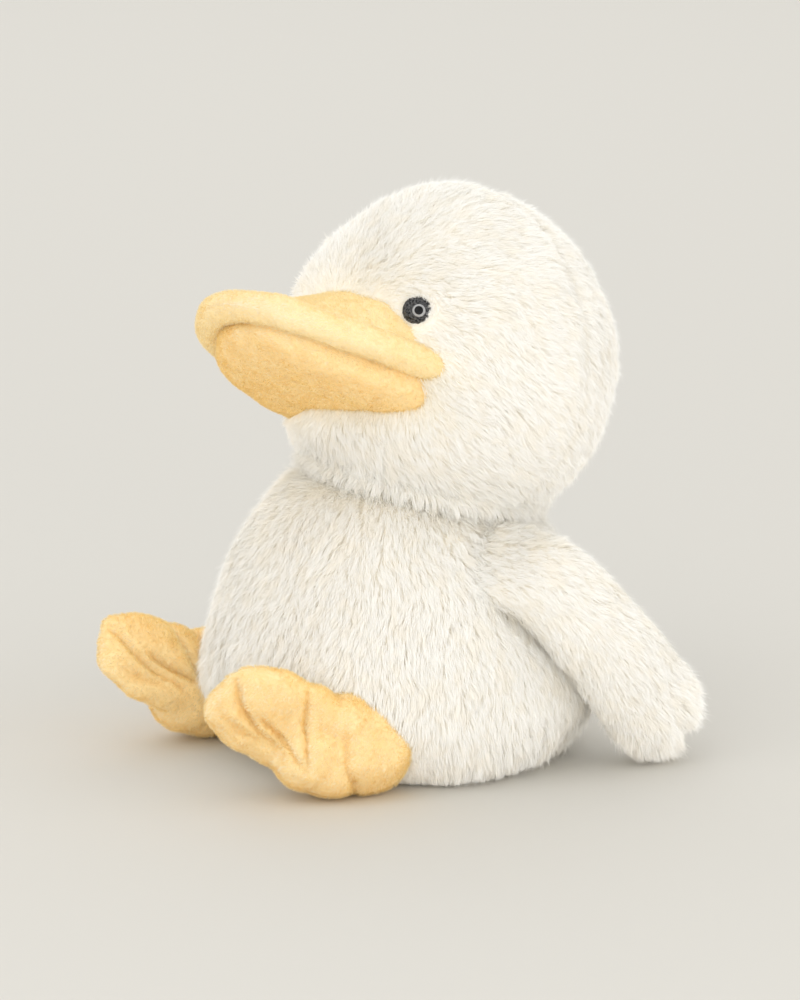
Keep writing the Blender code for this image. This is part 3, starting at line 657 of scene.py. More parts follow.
def strands(skin, density, rule, seed, tuft, wisp, pull, width, wild):
    """Tapered ribbons that grow on the skin, drawn together into wisps and tufts at their tips.
    Returns their corner points, five to a strand, and which of them are tinted throughout."""
    rng = np.random.default_rng(seed)
    area = skin.areas.sum()
    count = int(area * density * 1e6)
    pick = rng.choice(len(skin.areas), count, p=skin.areas / area)
    a = np.sqrt(rng.random(count))
    b = rng.random(count)
    weights = np.stack([1 - a, a * (1 - b), a * b], 1)[:, :, None]
    corner = skin.tris[pick]
    roots = (skin.points[corner] * weights).sum(1)
    normals = unit((skin.normals[corner] * weights).sum(1))
    keep, length, lean, flow = rule(roots, normals)
    roots, normals, length, lean, flow = (x[keep] for x in (roots, normals, length, lean, flow))
    count = len(roots)
    flow = unit(flow - normals * (flow * normals).sum(1, keepdims=True))

    def group(spacing):
        number = max(1, int(count / (density * 1e6) / spacing**2))
        chosen = rng.choice(count, min(count, number), replace=False)
        return chosen, nearest(roots, roots[chosen])

    tufts, in_tuft = group(tuft)
    wisps, in_wisp = group(wisp)
    turn = rng.normal(0, TURN_SPREADS[0], len(tufts))[in_tuft]
    turn = turn + rng.normal(0, TURN_SPREADS[1], len(wisps))[in_wisp]
    turn += rng.normal(0, TURN_SPREADS[2], count)
    side = np.cross(normals, flow)
    flow = flow * np.cos(turn)[:, None] + side * np.sin(turn)[:, None]
    grown = rng.normal(1, LENGTH_SPREADS[0], len(tufts))[in_tuft]
    grown = grown * rng.normal(1, LENGTH_SPREADS[1], len(wisps))[in_wisp]
    length = length * grown * rng.uniform(*LENGTH_RANGE, count)
    lean = lean + rng.normal(0, LEAN_SPREADS[0], len(tufts))[in_tuft]
    lean = lean + rng.normal(0, LEAN_SPREADS[1], count)
    stray = rng.random(count) < wild
    lean = np.where(stray, lean * STRAY_LEAN_SHARE, lean)

    def half_strand(bend):
        angle = lean * bend
        return (normals * np.cos(angle)[:, None] + flow * np.sin(angle)[:, None]) * (length * 0.5)[:, None]

    middle = roots + half_strand(LOWER_BEND)
    tip = middle + half_strand(UPPER_BEND)
    for chosen, inside, strength in ((wisps, in_wisp, pull[0]), (tufts, in_tuft, pull[1])):
        draw = np.where(stray, STRAY_PULL, strength)[:, None]
        away = roots - roots[chosen][inside]
        tip = tip - away * draw
        middle = middle - away * draw * MIDDLE_PULL_SHARE
        over = (tip[chosen][inside] - tip) * draw * TIP_GATHERING
        tip = tip + over
        middle = middle + over * MIDDLE_GATHERING
    for places in (tip, middle):
        places[:, 2] = np.maximum(places[:, 2], LOWEST_FUR)
    heading = unit(tip - roots)
    face = unit(np.cross(heading, normals))
    twist = rng.normal(0, TWIST_SPREAD, count)[:, None]
    across = face * np.cos(twist) + np.cross(heading, face) * np.sin(twist)
    half = width / 2 * rng.uniform(*WIDTH_RANGE, count)[:, None]
    low = across * half
    high = across * half * MIDDLE_WIDTH_SHARE
    points = np.stack([roots - low, roots + low, middle - high, middle + high, tip], 1)
    tinted = (rng.random(len(tufts)) < TINTED_TUFTS)[in_tuft] | (rng.random(count) < TINTED_STRANDS)
    return points, tinted


def fur_pieces(name, grown, materials, body):
    """Fur as meshes of at most MOST_STRANDS strands each. Fur as meshes that each stay under the number of
    faces that a printed mesh may have. The second material is for the roots, where its deeper colour is a
    painted shade deep in the pile, and for tinted strands, a tone that differs at random; on the feet it
    also goes on strands in a crease, as painted crease shade."""
    points, tinted = grown
    parts = max(1, math.ceil(len(points) / MOST_STRANDS))
    for k in range(parts):
        some = points[k::parts]
        tris = (np.arange(len(some))[:, None, None] * 5 + STRAND_FACES).reshape(-1, 3)
        which = np.tile((1, 1, 0), (len(some), 1))
        which[tinted[k::parts], 2] = 1
        label = f"{name}_{k + 1}" if parts > 1 else name
        piece = mesh_object(label, some.reshape(-1, 3), tris, materials, which.ravel())
        follow(piece, body)


def furred(part, skin, body, rule, nodes, suffix="", crowding=1):
    """A white part: its padded skin, and the long fur on it."""
    # The backing's deep cream is partly the fabric's own colour and partly a painted warm shade in the gaps
    # between strands
    backing = CLOTHS["cream_backing_painted_warm_shade"]
    padded_piece(f"{part}_plush{suffix}", skin, backing, body, nodes)
    grown = strands(skin, FUR_DENSITY * crowding, rule, FUR_SEEDS[part], **LONG_PILE)
    fur_pieces(f"{part}_fur{suffix}", grown, WHITE, body)


def even_fur(roots, length, lean):
    """The same length and lean for every strand."""
    return np.full(len(roots), length), np.full(len(roots), np.radians(lean))


# Body
def body_skin():
    """The body, from its flat underside over the belly to the dish under the head."""
    rows = []
    for i in range(BASE_ROWS):
        share = BASE_STEP + BASE_STEP * i
        rows.append((Vector((0, 0, BODY_UNDERSIDE)), 0.0, (BASE_RADIUS + SKIN_OUTSIDE) * share))
    for i in range(1, BELLY_ROWS + 1):
        angle = i / BELLY_ROWS * QUARTER_TURN
        height = max(BODY_UNDERSIDE, BELLY_HEIGHT * (1 - math.cos(angle)))
        radius = blend(BASE_RADIUS, BELLY_RADIUS, math.sin(angle)) + SKIN_OUTSIDE
        rows.append((Vector((0, 0, height)), 0.0, radius))
    top = NECK_HEIGHT - NECK_RADIUS * math.tan(SHOULDER_DISH)
    for i in range(1, SHOULDER_ROWS + 1):
        rise = math.sin(i / SHOULDER_ROWS * QUARTER_TURN)
        middle = Vector((0, NECK_SETBACK * rise**BODY_SETBACK_POWER, blend(BELLY_HEIGHT, top, rise)))
        fullness = (1 - rise**SHOULDER_SLOPE_POWER) ** SHOULDER_ROUNDNESS
        radius = blend(NECK_RADIUS, BELLY_RADIUS, fullness)
        rows.append((middle, NECK_TILT * rise**BODY_LEAN_POWER, radius + SKIN_OUTSIDE))
    for i in range(1, CLOSING_ROWS):
        radius = (NECK_RADIUS + SKIN_OUTSIDE) * (1 - i / CLOSING_ROWS)
        middle = NECK_FRAME @ Vector((0, 0, -radius * math.tan(SHOULDER_DISH)))
        rows.append((middle, NECK_TILT, radius))
    loops = []
    for middle, lean, radius in rows:
        back = Matrix.Rotation(-lean, 3, "X")
        spokes = [back @ Vector((math.sin(t), -math.cos(t), 0)) for t in turns_round(BODY_POINTS)]
        loops.append([middle + spoke * radius for spoke in spokes])
    return Skin(loops)


def drawn_in(body):
    """The body's skin with its lower edge drawn in, most of all in front."""
    front = bell(bearings_of(body.points), FRONT_HOLLOW_BEARING, FRONT_HOLLOW_SPREAD)
    low = 1 - smooth(body.points[:, 2], 0.0, HOLLOW_HEIGHT)
    body.points[:, :2] *= 1 - (low * (HOLLOW_SHARE + FRONT_HOLLOW_SHARE * front))[:, None]
    body.points[:, 2] = np.maximum(body.points[:, 2], BODY_UNDERSIDE)
    body.update()
    return body


def body_rule(roots, normals):
    keep = roots[:, 2] > BODY_FUR_FLOOR
    to_leg = np.min([distances(leg_forms[name], roots, LEG_FUR_REACH) for name in SIDES], axis=0)
    keep &= to_leg > -LEG_FUR_OVERLAP
    flow = np.tile((0, 0, -1.0), (len(roots), 1))
    flow[:, :2] += roots[:, :2] * BODY_FLOW_OUTWARD
    bearing = np.abs(bearings_of(roots))
    hem = smooth(roots[:, 2], *HEM_HEIGHTS)
    behind = smooth(bearing, *HEM_BEHIND)
    seam = bell(bearing, SIDE_SEAM_BEARING, SIDE_SEAM_SPREAD) * hem
    collar = smooth(in_neck_frame(roots)[:, 2], *COLLAR_HEIGHTS)
    hem_change = hem * (HEM_LONGER_BEHIND * behind - HEM_SHORTER_IN_FRONT * (1 - behind))
    length = BODY_FUR_LENGTH + hem_change - SIDE_SEAM_SHORTER * seam + COLLAR_LONGER * collar
    lean = np.radians(FUR_LEAN + HEM_LEAN * hem + COLLAR_LEAN * collar)
    return keep, length, lean, swayed(roots, unit(flow), normals, *SWAYS["body"])


def build_body():
    body = drawn_in(body_skin().ruffled(*RUFFLES["body"]))
    nodes = ("body_front_panel", "body_back_panel", "body_stuffing", "bean_bag")
    furred("body", body, "torso", body_rule, nodes)


# Head
def head_radii(directions):
    """The head's radius in each direction: a ball with a fuller crown and a dent at the brow."""
    crown = np.array((0, -math.sin(CROWN_LEAN), math.cos(CROWN_LEAN)))
    brow = np.array((0, -math.cos(BROW_RISE), math.sin(BROW_RISE)))
    to_crown = np.arccos(np.clip(directions @ crown, -1, 1))
    to_brow = np.arccos(np.clip(directions @ brow, -1, 1))
    swell = CROWN_SWELL * bell(to_crown, 0, CROWN_SPREAD)
    return HEAD_RADIUS + swell - BROW_DENT * bell(to_brow, 0, BROW_SPREAD)


def in_neck_frame(points):
    back = np.array(NECK_FRAME.inverted())
    return points @ back[:3, :3].T + back[:3, 3]


def from_neck_frame(points):
    out = np.array(NECK_FRAME)
    return points @ out[:3, :3].T + out[:3, 3]


def head_skin():
    along = HEAD_RISE * math.sin(HEAD_UNDERCUT)
    reach = along + math.sqrt(HEAD_RADIUS**2 - (HEAD_RISE * math.cos(HEAD_UNDERCUT)) ** 2)
    under_radius = reach * math.cos(HEAD_UNDERCUT)
    under_height = reach * math.sin(HEAD_UNDERCUT)
    lowest = math.atan2(under_radius, under_height - HEAD_RISE)
    turns = np.arange(HEAD_POINTS) / HEAD_POINTS * FULL_TURN
    loops = []
    for i in range(1, HEAD_ROWS + 1):
        polar = lowest * i / HEAD_ROWS
        flat = math.sin(polar)
        heights = np.full(HEAD_POINTS, math.cos(polar))
        directions = np.stack([flat * np.sin(turns), -flat * np.cos(turns), heights], 1)
        points = directions * (head_radii(directions) + SKIN_OUTSIDE)[:, None]
        points[:, 2] += HEAD_RISE
        loops.append(from_neck_frame(points))
    edge = in_neck_frame(loops[-1])
    for i in range(1, CLOSING_ROWS):
        share = 1 - i / CLOSING_ROWS
        ring = edge.copy()
        ring[:, :2] *= share
        ring[:, 2] = edge[:, 2] * share - SKIN_OUTSIDE
        loops.append(from_neck_frame(ring))
    return Skin(loops)


def with_back_seam(head):
    """The head's skin with the seam behind the cheeks pressed in."""
    local = in_neck_frame(head.points)
    from_seam = np.abs(bearings_of(local)) - math.degrees(BACK_SEAM)
    gap = np.radians(from_seam) * np.hypot(local[:, 0], local[:, 1])
    head.points -= head.normals * (BACK_SEAM_DEPTH * bell(gap, 0, BACK_SEAM_WIDTH))[:, None]
    head.update()
    return head


def head_rule(roots, normals):
    local = in_neck_frame(roots)
    to_bill = np.min([distances(skin, roots, BILL_FUR_REACH) for skin in bill_skins.values()], axis=0)
    keep = to_bill > -BILL_FUR_OVERLAP
    eye_places = [np.array(NECK_FRAME @ eye_seat(side, 0)[0]) for side in SIDES.values()]
    to_eyes = np.array([np.linalg.norm(roots - place, axis=1) for place in eye_places])
    eye = to_eyes.min(0)
    keep &= eye > EYE_RADIUS - EYE_FUR_OVERLAP
    away = unit(roots - np.array(bill_place(0, HEAD_RADIUS, FACE_MIDDLE_UP)))
    drop = HEAD_FLOW_DROP + HEAD_FLOW_DROP_BEHIND * smooth(local[:, 1], *HEAD_BEHIND)
    flow = away + np.array((0, 0, -1.0)) * drop[:, None]
    near_bill = 1 - smooth(to_bill, *BESIDE_BILL)
    near_eye = 1 - smooth(eye, EYE_RADIUS, EYE_RADIUS + EYE_FUR_REACH)
    inwards = unit(np.array(eye_places)[np.argmin(to_eyes, axis=0)] - roots)
    level = np.sqrt(np.clip(1 - inwards[:, 2] ** 2, 0, 1))
    flow = unit(flow) + inwards * (EYE_FUR_INWARD * near_eye * level)[:, None]
    under = smooth(local[:, 2], *UNDER_HEAD)
    brow = near_bill * smooth(local[:, 2], HEAD_RISE, HEAD_RISE + BROW_DEPTH)
    length = HEAD_FUR_LENGTH * (1 - BESIDE_BILL_SHORTER * near_bill - BROW_SHORTER * brow)
    length = length * (1 - EYE_FUR_SHORTER * near_eye) + UNDER_HEAD_LONGER * under
    lean = FUR_LEAN + BESIDE_BILL_LEAN * near_bill + BROW_LEAN * brow
    lean = lean + EYE_FUR_LEAN * near_eye * (1 - near_bill) + UNDER_HEAD_LEAN * under
    return keep, length, np.radians(lean), swayed(roots, unit(flow), normals, *SWAYS["head"])


def build_head():
    head = with_back_seam(head_skin().ruffled(*RUFFLES["head"]))
    nodes = ("head_face_left", "head_face_right", "head_back_panel", "head_stuffing")
    furred("head", head, "head", head_rule, nodes)


# Neck
def neck_skin():
    loops = []
    for i in range(1, NECK_ROWS):
        height = NECK_BALL_RADIUS * math.cos(i / NECK_ROWS * math.pi)
        radius = math.sqrt(NECK_BALL_RADIUS**2 - height**2)
        from_ring = 1 - ((height - NECK_RING_HEIGHT) / NECK_RING_HALF_THICKNESS) ** 2
        radius = max(radius, NECK_RING_RADIUS * max(0.0, from_ring) ** NECK_RING_ROUNDNESS)
        places = [(radius * math.cos(t), radius * math.sin(t), height) for t in turns_round(NECK_POINTS)]
        loops.append([NECK_FRAME @ Vector(place) for place in places])
    return Skin(loops)


def neck_rule(roots, normals):
    local = in_neck_frame(roots)
    keep = np.hypot(local[:, 0], local[:, 1]) > NECK_FUR_FROM
    flow = np.tile((0, 0, -1.0), (len(roots), 1))
    return keep, *even_fur(roots, NECK_FUR_LENGTH, NECK_FUR_LEAN), flow


def build_neck():
    furred("neck", neck_skin(), "neck", neck_rule, ("neck_stuffing",), crowding=NECK_FUR_CROWDING)


# Tail
def oval(middle, wide, out, half_width, half_thickness, count):
    """A loop of points round the middle, with its half axes along two directions."""
    turns = turns_round(count)
    return [middle + wide * half_width * math.cos(t) + out * half_thickness * math.sin(t) for t in turns]


def tail_skin():
    """A rounded cone that points back and up."""
    root = Vector((0, BELLY_RADIUS - TAIL_SUNK, TAIL_HEIGHT))
    along = Vector((0, math.cos(TAIL_RISE), math.sin(TAIL_RISE)))
    side = Vector((1, 0, 0))
    up = side.cross(along)
    loops = []
    for i in range(TAIL_ROWS):
        share = math.sin(i / TAIL_ROWS * QUARTER_TURN)
        half = TAIL_RADIUS * math.sqrt(max(0.0, 1 - share**2))
        loops.append(oval(root + along * TAIL_LENGTH * share, side, up, half, half, TAIL_POINTS))
    return Skin(loops)


def tail_rule(roots, normals):
    flow = np.tile((0, math.cos(TAIL_RISE), math.sin(TAIL_RISE) - TAIL_FLOW_DROP), (len(roots), 1))
    return np.ones(len(roots), bool), *even_fur(roots, TAIL_FUR_LENGTH, TAIL_FUR_LEAN), flow


def build_tail():
    furred("tail", tail_skin(), "torso", tail_rule, ("tail_cover", "tail_stuffing"))


# Wings
def wing_frame(v):
    """The wing's middle, direction along, across and out at a share of its length."""
    route = [Vector(share) * WING_LENGTH for share in WING_ROUTE_SHARES]
    rest = 1 - v
    weights = (rest**3, 3 * rest**2 * v, 3 * rest * v**2, v**3)
    middle = sum((point * weight for point, weight in zip(route, weights)), WING_ROOT)
    pulls = (rest**2, 2 * rest * v, v**2)
    along = sum(((route[i + 1] - route[i]) * pulls[i] for i in range(3)), Vector()).normalized()
    wide = Vector(WING_SEAM_SHARES).lerp(Vector(WING_TIP_SHARES), min(1.0, v / WING_TWIST_END_SHARE))
    out = along.cross(wide).normalized()
    return middle, along, out.cross(along), out


def wing_skin():
    loops = []
    middle, along, wide, out = wing_frame(0)
    for i in range(WING_ROOT_ROWS):
        angle = blend(WING_ROOT_FIRST_ANGLE, QUARTER_TURN, i / WING_ROOT_ROWS)
        at = middle - along * WING_ROOT_HALF_THICKNESS * math.cos(angle) - out * WING_ROOT_SUNK
        half_width = (WING_ROOT_HALF_WIDTH + SKIN_OUTSIDE) * math.sin(angle)
        half_thickness = (WING_ROOT_HALF_THICKNESS + SKIN_OUTSIDE) * math.sin(angle)
        half_thickness *= 1 - WING_ROOT_THINNING
        loops.append(oval(at, wide, out, half_width, half_thickness, WING_POINTS))
    tip = 1 + SKIN_OUTSIDE / WING_LENGTH
    for i in range(WING_ROWS):
        v = math.sin(i / WING_ROWS * QUARTER_TURN) * tip
        middle, along, wide, out = wing_frame(v)
        swell = math.sin(min(1.0, v / WING_END_SHARE) * QUARTER_TURN)
        closing = max(0.0, v - WING_END_SHARE) / (tip - WING_END_SHARE)
        end = math.sqrt(max(0.0, 1 - closing**2))
        half_width = (blend(WING_ROOT_HALF_WIDTH, WING_HALF_WIDTH, swell) + SKIN_OUTSIDE) * end
        half_thickness = blend(WING_ROOT_HALF_THICKNESS, WING_HALF_THICKNESS, swell) + SKIN_OUTSIDE
        half_thickness *= end
        sunk = 1 - float(smooth(v, 0.0, WING_SUNK_END_SHARE))
        half_thickness *= 1 - WING_ROOT_THINNING * sunk
        half_thickness += WING_FULLNESS * end
        middle = middle - out * (WING_FULLNESS + WING_ROOT_SUNK * sunk)
        loops.append(oval(middle, wide, out, half_width, half_thickness, WING_POINTS))
    middle, _, _, out = wing_frame(tip)
    return Skin(loops, (None, middle - out * WING_FULLNESS))


def wing_rule(side):
    frames = [wing_frame(v) for v in np.linspace(0, 1, WING_STATIONS)]
    middles, alongs, wides = (np.array([f[k] for f in frames]) for k in range(3))
    for table in (middles, alongs, wides):
        table[:, 0] *= side

    def rule(roots, normals):
        which = np.argmin(np.linalg.norm(roots[:, None] - middles[None], axis=2), axis=1)
        tip = smooth(which / (WING_STATIONS - 1), *WING_TIP_SHARES_OF_FUR)
        across = ((roots - middles[which]) * wides[which]).sum(1) / WING_HALF_WIDTH
        parting = bell(across, WING_PARTING, WING_PARTING_SPREAD)
        length = WING_FUR_LENGTH + tip * (WING_TIP_LONGER - WING_PARTING_SHORTER * parting)
        lean = np.radians(FUR_LEAN + WING_TIP_LEAN * tip)
        fan = tip * (across - WING_PARTING) * WING_FANNING
        flow = alongs[which] + wides[which] * fan[:, None]
        flow[:, 2] -= WING_FLOW_DROP
        return np.ones(len(roots), bool), length, lean, swayed(roots, flow, normals, *SWAYS["wing"])

    return rule


def build_wing(name, side):
    wing = wing_skin().mirrored(side).ruffled(*RUFFLES["wing"])
    nodes = (f"wing_cover_{name}", f"wing_stuffing_{name}")
    furred("wing", wing, f"wing_{name}", wing_rule(side), nodes, suffix=f"_{name}")


# Bill
def bill_place(across, forward, up):
    """A place given from the middle of the head, in the face's own directions."""
    return NECK_FRAME @ (HEAD_MIDDLE + FACE_TURN @ Vector((across, -forward, up)))


def bill_share(forward, reach=BILL_REACH):
    return min(1.0, max(0.0, (forward - BILL_WIDEST_AT) / (reach - BILL_WIDEST_AT)))


def bill_half_width(forward, inset):
    share = bill_share(forward, BILL_REACH - inset)
    return (BILL_HALF_WIDTH - inset) * max(0.0, 1 - share**BILL_ROUNDNESS) ** (1 / BILL_ROUNDNESS)


def rim_height(forward):
    return RIM_TIP_LIFT * bill_share(forward) ** RIM_TIP_LIFT_POWER - RIM_DEPTH


def bill_half(inset, rise, tip_rise, drop, powers, top):
    """One half of the bill: its rise over and drop under the height that top gives, which both
    close towards the tip, and the powers of that closing below and above and of its section."""
    lower_power, upper_power, section_power = powers
    loops = []
    for i in range(BILL_ROWS + 1):
        along = math.sin(min(i / BILL_ROWS, BILL_LAST_ROW_SHARE) * QUARTER_TURN)
        forward = blend(BILL_ROOT_AT, BILL_REACH - inset, along)
        towards_tip = bill_share(forward, BILL_REACH - inset)
        row = []
        for j in range(BILL_POINTS):
            angle = j / BILL_POINTS * FULL_TURN
            across = bill_half_width(forward, inset) * powered(math.cos(angle), section_power)
            round_loop = powered(math.sin(angle), section_power)
            lift = blend(rise, tip_rise, towards_tip) if round_loop > 0 else drop
            closing = (1 - towards_tip ** (upper_power if round_loop > 0 else lower_power)) ** 0.5
            row.append(bill_place(across, forward, top(forward) + lift * closing * round_loop))
        loops.append(row)
    return Skin(loops)


def upper_bill_skin():
    edge = 2 * RIM_RADIUS - UPPER_BILL_UNDER_RIM
    powers = (UPPER_BILL_TIP_POWER, UPPER_BILL_TIP_POWER, UPPER_BILL_SECTION_POWER)
    return bill_half(edge, UPPER_BILL_RISE, UPPER_BILL_TIP_RISE, PALATE_DROP, powers, rim_height)


def lower_bill_skin():
    def top(forward):
        return rim_height(forward) - RIM_RADIUS - GAP - LOWER_BILL_CROWN

    powers = (LOWER_BILL_TIP_POWER, LOWER_BILL_TOP_POWER, LOWER_BILL_SECTION_POWER)
    return bill_half(LOWER_BILL_INSET, LOWER_BILL_RISE, LOWER_BILL_TIP_RISE, LOWER_BILL_DEPTH, powers, top)


def rim_skin():
    """The padded roll, a tube along the bill's outline that tucks in at its two ends."""
    path = []
    power = 2 / BILL_ROUNDNESS
    reach = BILL_REACH - BILL_WIDEST_AT - RIM_RADIUS
    for i in range(RIM_ROWS + 1):
        angle = blend(-QUARTER_TURN, QUARTER_TURN, i / RIM_ROWS)
        tuck = 1 - RIM_TUCK * float(smooth(abs(math.degrees(angle)), *RIM_TUCK_BEARINGS))
        across = (BILL_HALF_WIDTH - RIM_RADIUS) * powered(math.sin(angle), power) * tuck
        forward = BILL_WIDEST_AT + reach * powered(math.cos(angle), power)
        if i in (0, RIM_ROWS):
            forward = BILL_ROOT_AT
        path.append((bill_place(across, forward, rim_height(forward)), forward))
    up = (NECK_FRAME.to_3x3() @ FACE_TURN @ Vector((0, 0, 1))).normalized()
    loops = []
    for i, (place, forward) in enumerate(path):
        along = (path[min(i + 1, RIM_ROWS)][0] - path[max(i - 1, 0)][0]).normalized()
        side = along.cross(up).normalized()
        rise = side.cross(along)
        radius = RIM_RADIUS * blend(1, RIM_TIP_SHARE, bill_share(forward))
        spokes = [side * math.cos(t) + rise * math.sin(t) for t in turns_round(RIM_POINTS)]
        loops.append([place + spoke * radius for spoke in spokes])
    return Skin(loops)


def nap_rule(flow_to, length, lean, keep_when=None):
    def rule(roots, normals):
        flow = np.tile(flow_to, (len(roots), 1)).astype(float)
        keep = np.ones(len(roots), bool) if keep_when is None else keep_when(roots)
        return keep, *even_fur(roots, length, lean), flow

    return rule


def out_of_head(roots):
    local = in_neck_frame(roots) - np.array((0, 0, HEAD_RISE))
    radius = np.linalg.norm(local, axis=1)
    return radius > head_radii(local / radius[:, None]) - BILL_NAP_OVERLAP


def build_bill_part(label, nap, backing, nodes):
    skin = bill_skins[label]
    padded_piece(f"{label}_plush", skin, CLOTHS[backing], "head", nodes)
    flow = NECK_FRAME.to_3x3() @ FACE_TURN @ Vector(BILL_NAP_FLOW)
    rule = nap_rule(flow, BILL_NAP_LENGTH, BILL_NAP_LEAN, out_of_head)
    grown = strands(skin, NAP_DENSITY, rule, FUR_SEEDS[label], **SHORT_NAP)
    fur_pieces(f"{label}_nap", grown, nap, "head")


# Legs and feet
def foot_directions(rise):
    flat = math.cos(rise)
    along = Vector((-flat * math.sin(FOOT_INWARD), -flat * math.cos(FOOT_INWARD), math.sin(rise)))
    upright = (Vector((0, 0, 1)) - along * along.z).normalized()
    across = Matrix.Rotation(-FOOT_ROLL, 3, along) @ upright
    return along, across, along.cross(across)


def foot_skin(rise, half_width, shift):
    """The paddle, a crowned pad from the heel's middle to the toes that is thicker at the heel."""
    along, across, out = foot_directions(rise)
    loops = []
    for i in range(1, FOOT_ROWS):
        angle = i / FOOT_ROWS * math.pi
        ring = math.sin(angle)
        crown = powered(math.cos(angle), FOOT_CROWN_POWER)
        row = []
        for turn in turns_round(FOOT_POINTS):
            share = (1 - math.cos(turn)) / 2
            half = blend(min(FOOT_HEEL_HALF_WIDTH, half_width), half_width, math.sin(share * QUARTER_TURN))
            forward = blend(FOOT_LENGTH * FOOT_CROWN_SHARE, FOOT_LENGTH * share, ring)
            sideways = half * powered(math.sin(turn), FOOT_OUTLINE_POWER) * ring + shift
            heelward = 1 - float(smooth(forward, 0.0, FOOT_LENGTH * FOOT_HEEL_END_SHARE))
            depth = blend(FOOT_HALF_THICKNESS, FOOT_HEEL_HALF_THICKNESS, heelward) * crown
            row.append(HEEL + along * forward + across * sideways + out * depth)
        loops.append(row)
    return Skin(loops)


def ball_skin(middle, radius):
    loops = []
    for i in range(1, HEEL_ROWS):
        polar = i / HEEL_ROWS * math.pi
        flat = math.sin(polar)
        spokes = [(flat * math.cos(t), flat * math.sin(t), math.cos(polar)) for t in turns_round(HEEL_POINTS)]
        loops.append([middle + Vector(spoke) * radius for spoke in spokes])
    return Skin(loops)


def foot_creases(points, rise):
    """How deep the stitched creases go at each point of the left foot."""
    along, across, _ = (np.array(axis) for axis in foot_directions(rise))
    flat = points - np.array(HEEL)
    flat = np.stack([flat @ along, flat @ across], 1)
    pressed = np.zeros(len(flat))
    start, span = CREASE_FADE
    for depth, width, route in FOOT_CREASES:
        legs = len(route) - 1
        for k in range(legs):
            a, b = np.array(route[k]), np.array(route[k + 1])
            share = np.clip((flat - a) @ (b - a) / ((b - a) @ (b - a)), 0, 1)
            far = np.linalg.norm(flat - a - share[:, None] * (b - a), axis=1)
            fade = np.sin(np.pi * (start + span * (k + share) / legs))
            pressed = np.maximum(pressed, depth * fade * bell(far, 0, width))
    return pressed


def whole_foot(rise, half_width, shift):
    """The left leg's stub and its foot as one padded form, with the stitched creases pressed in."""
    heels = [ball_skin(HEEL, HEEL_RADIUS), ball_skin(HEEL + HEEL_BACK_SHIFT, HEEL_BACK_RADIUS)]
    sole = [ball_skin(Vector(place), radius) for place, radius in FOOT_SOLE_BALLS]
    form = melted([foot_skin(rise, half_width, shift), *heels, *sole], FOOT_CELL, FOOT_SMOOTHING_ROUNDS)
    out = np.array(foot_directions(rise)[2])
    pressed = foot_creases(form.points, rise)
    facing = np.abs(form.normals @ out)
    form.points -= form.normals * (pressed * smooth(facing, *CREASE_FACING))[:, None]
    form.update()
    form.ruffled(*RUFFLES["foot"])
    form.points[:, 2] = np.maximum(form.points[:, 2], FOOT_UNDERSIDE)
    form.update()
    return form


def build_foot(name, side):
    form = leg_forms[name]
    kinds = ("leg_cover", "leg_stuffing", "foot_top", "foot_sole", "foot_stuffing")
    nodes = [f"{kind}_{name}" for kind in kinds]
    body, backing = f"leg_{name}", CLOTHS["yellow_backing"]
    padded_piece(f"foot_plush_{name}", form, backing, body, nodes)
    rule = nap_rule(FOOT_NAP_FLOW, FOOT_NAP_LENGTH, FOOT_NAP_LEAN)
    points, tinted = strands(form, NAP_DENSITY, rule, FUR_SEEDS["foot"], **SHORT_NAP)
    roots = points[:, 0] * (side, 1, 1)
    # Strands in the creases take the deeper roots colour all over: painted shade in the creases
    painted_crease_shade = foot_creases(roots, FOOT_SHAPES[name][0]) > PAINTED_CREASE_SHADE_DEPTH
    fur_pieces(f"foot_nap_{name}", (points, tinted | painted_crease_shade), YELLOW, body)


# Eyes
def eye_seat(side, gap):
    """Where an eye sits in the neck's frame, this far off the head, and where it looks."""
    aim = FACE_TURN @ direction_at(side * EYE_BEARING, EYE_RISE)
    return HEAD_MIDDLE + aim * (float(head_radii(np.array([aim]))[0]) + gap), aim


def eye_disc(eye_frame, side, reach, lift):
    """A thin disc that lies on the eye's dome."""
    middle = eye_frame.to_3x3().inverted() @ Vector((side * EYE_DISC_ASIDE, *EYE_DISC_SHIFT))
    outwards = [(k / EYE_DISC_ROWS, 0) for k in range(1, EYE_DISC_ROWS + 1)]
    loops = []
    for share, sunk in outwards + [(share, EYE_DISC_THICKNESS) for share, _ in reversed(outwards)]:
        loop = []
        for t in turns_round(EYE_DISC_POINTS):
            x, y = middle.x + reach * share * math.cos(t), middle.y + reach * share * math.sin(t)
            height = EYE_DOME * math.sqrt(1 - (x * x + y * y) / EYE_RADIUS**2) + lift - sunk
            loop.append(eye_frame @ Vector((x, y, height)))
        loops.append(loop)
    return Skin(loops)


def build_eye(name, side):
    seat, aim = eye_seat(side, GAP)
    turn = Vector((0, 0, 1)).rotation_difference(aim).to_matrix().to_4x4()
    eye_frame = NECK_FRAME @ Matrix.Translation(seat) @ turn
    for label, size in EYE_DISC_SIZES.items():
        disc = eye_disc(eye_frame, side, *size)
        piece = mesh_object(f"eye_{label}_{name}", disc.points, disc.tris, [CLOTHS[f"eye_{label}"]])
        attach(piece, "head")


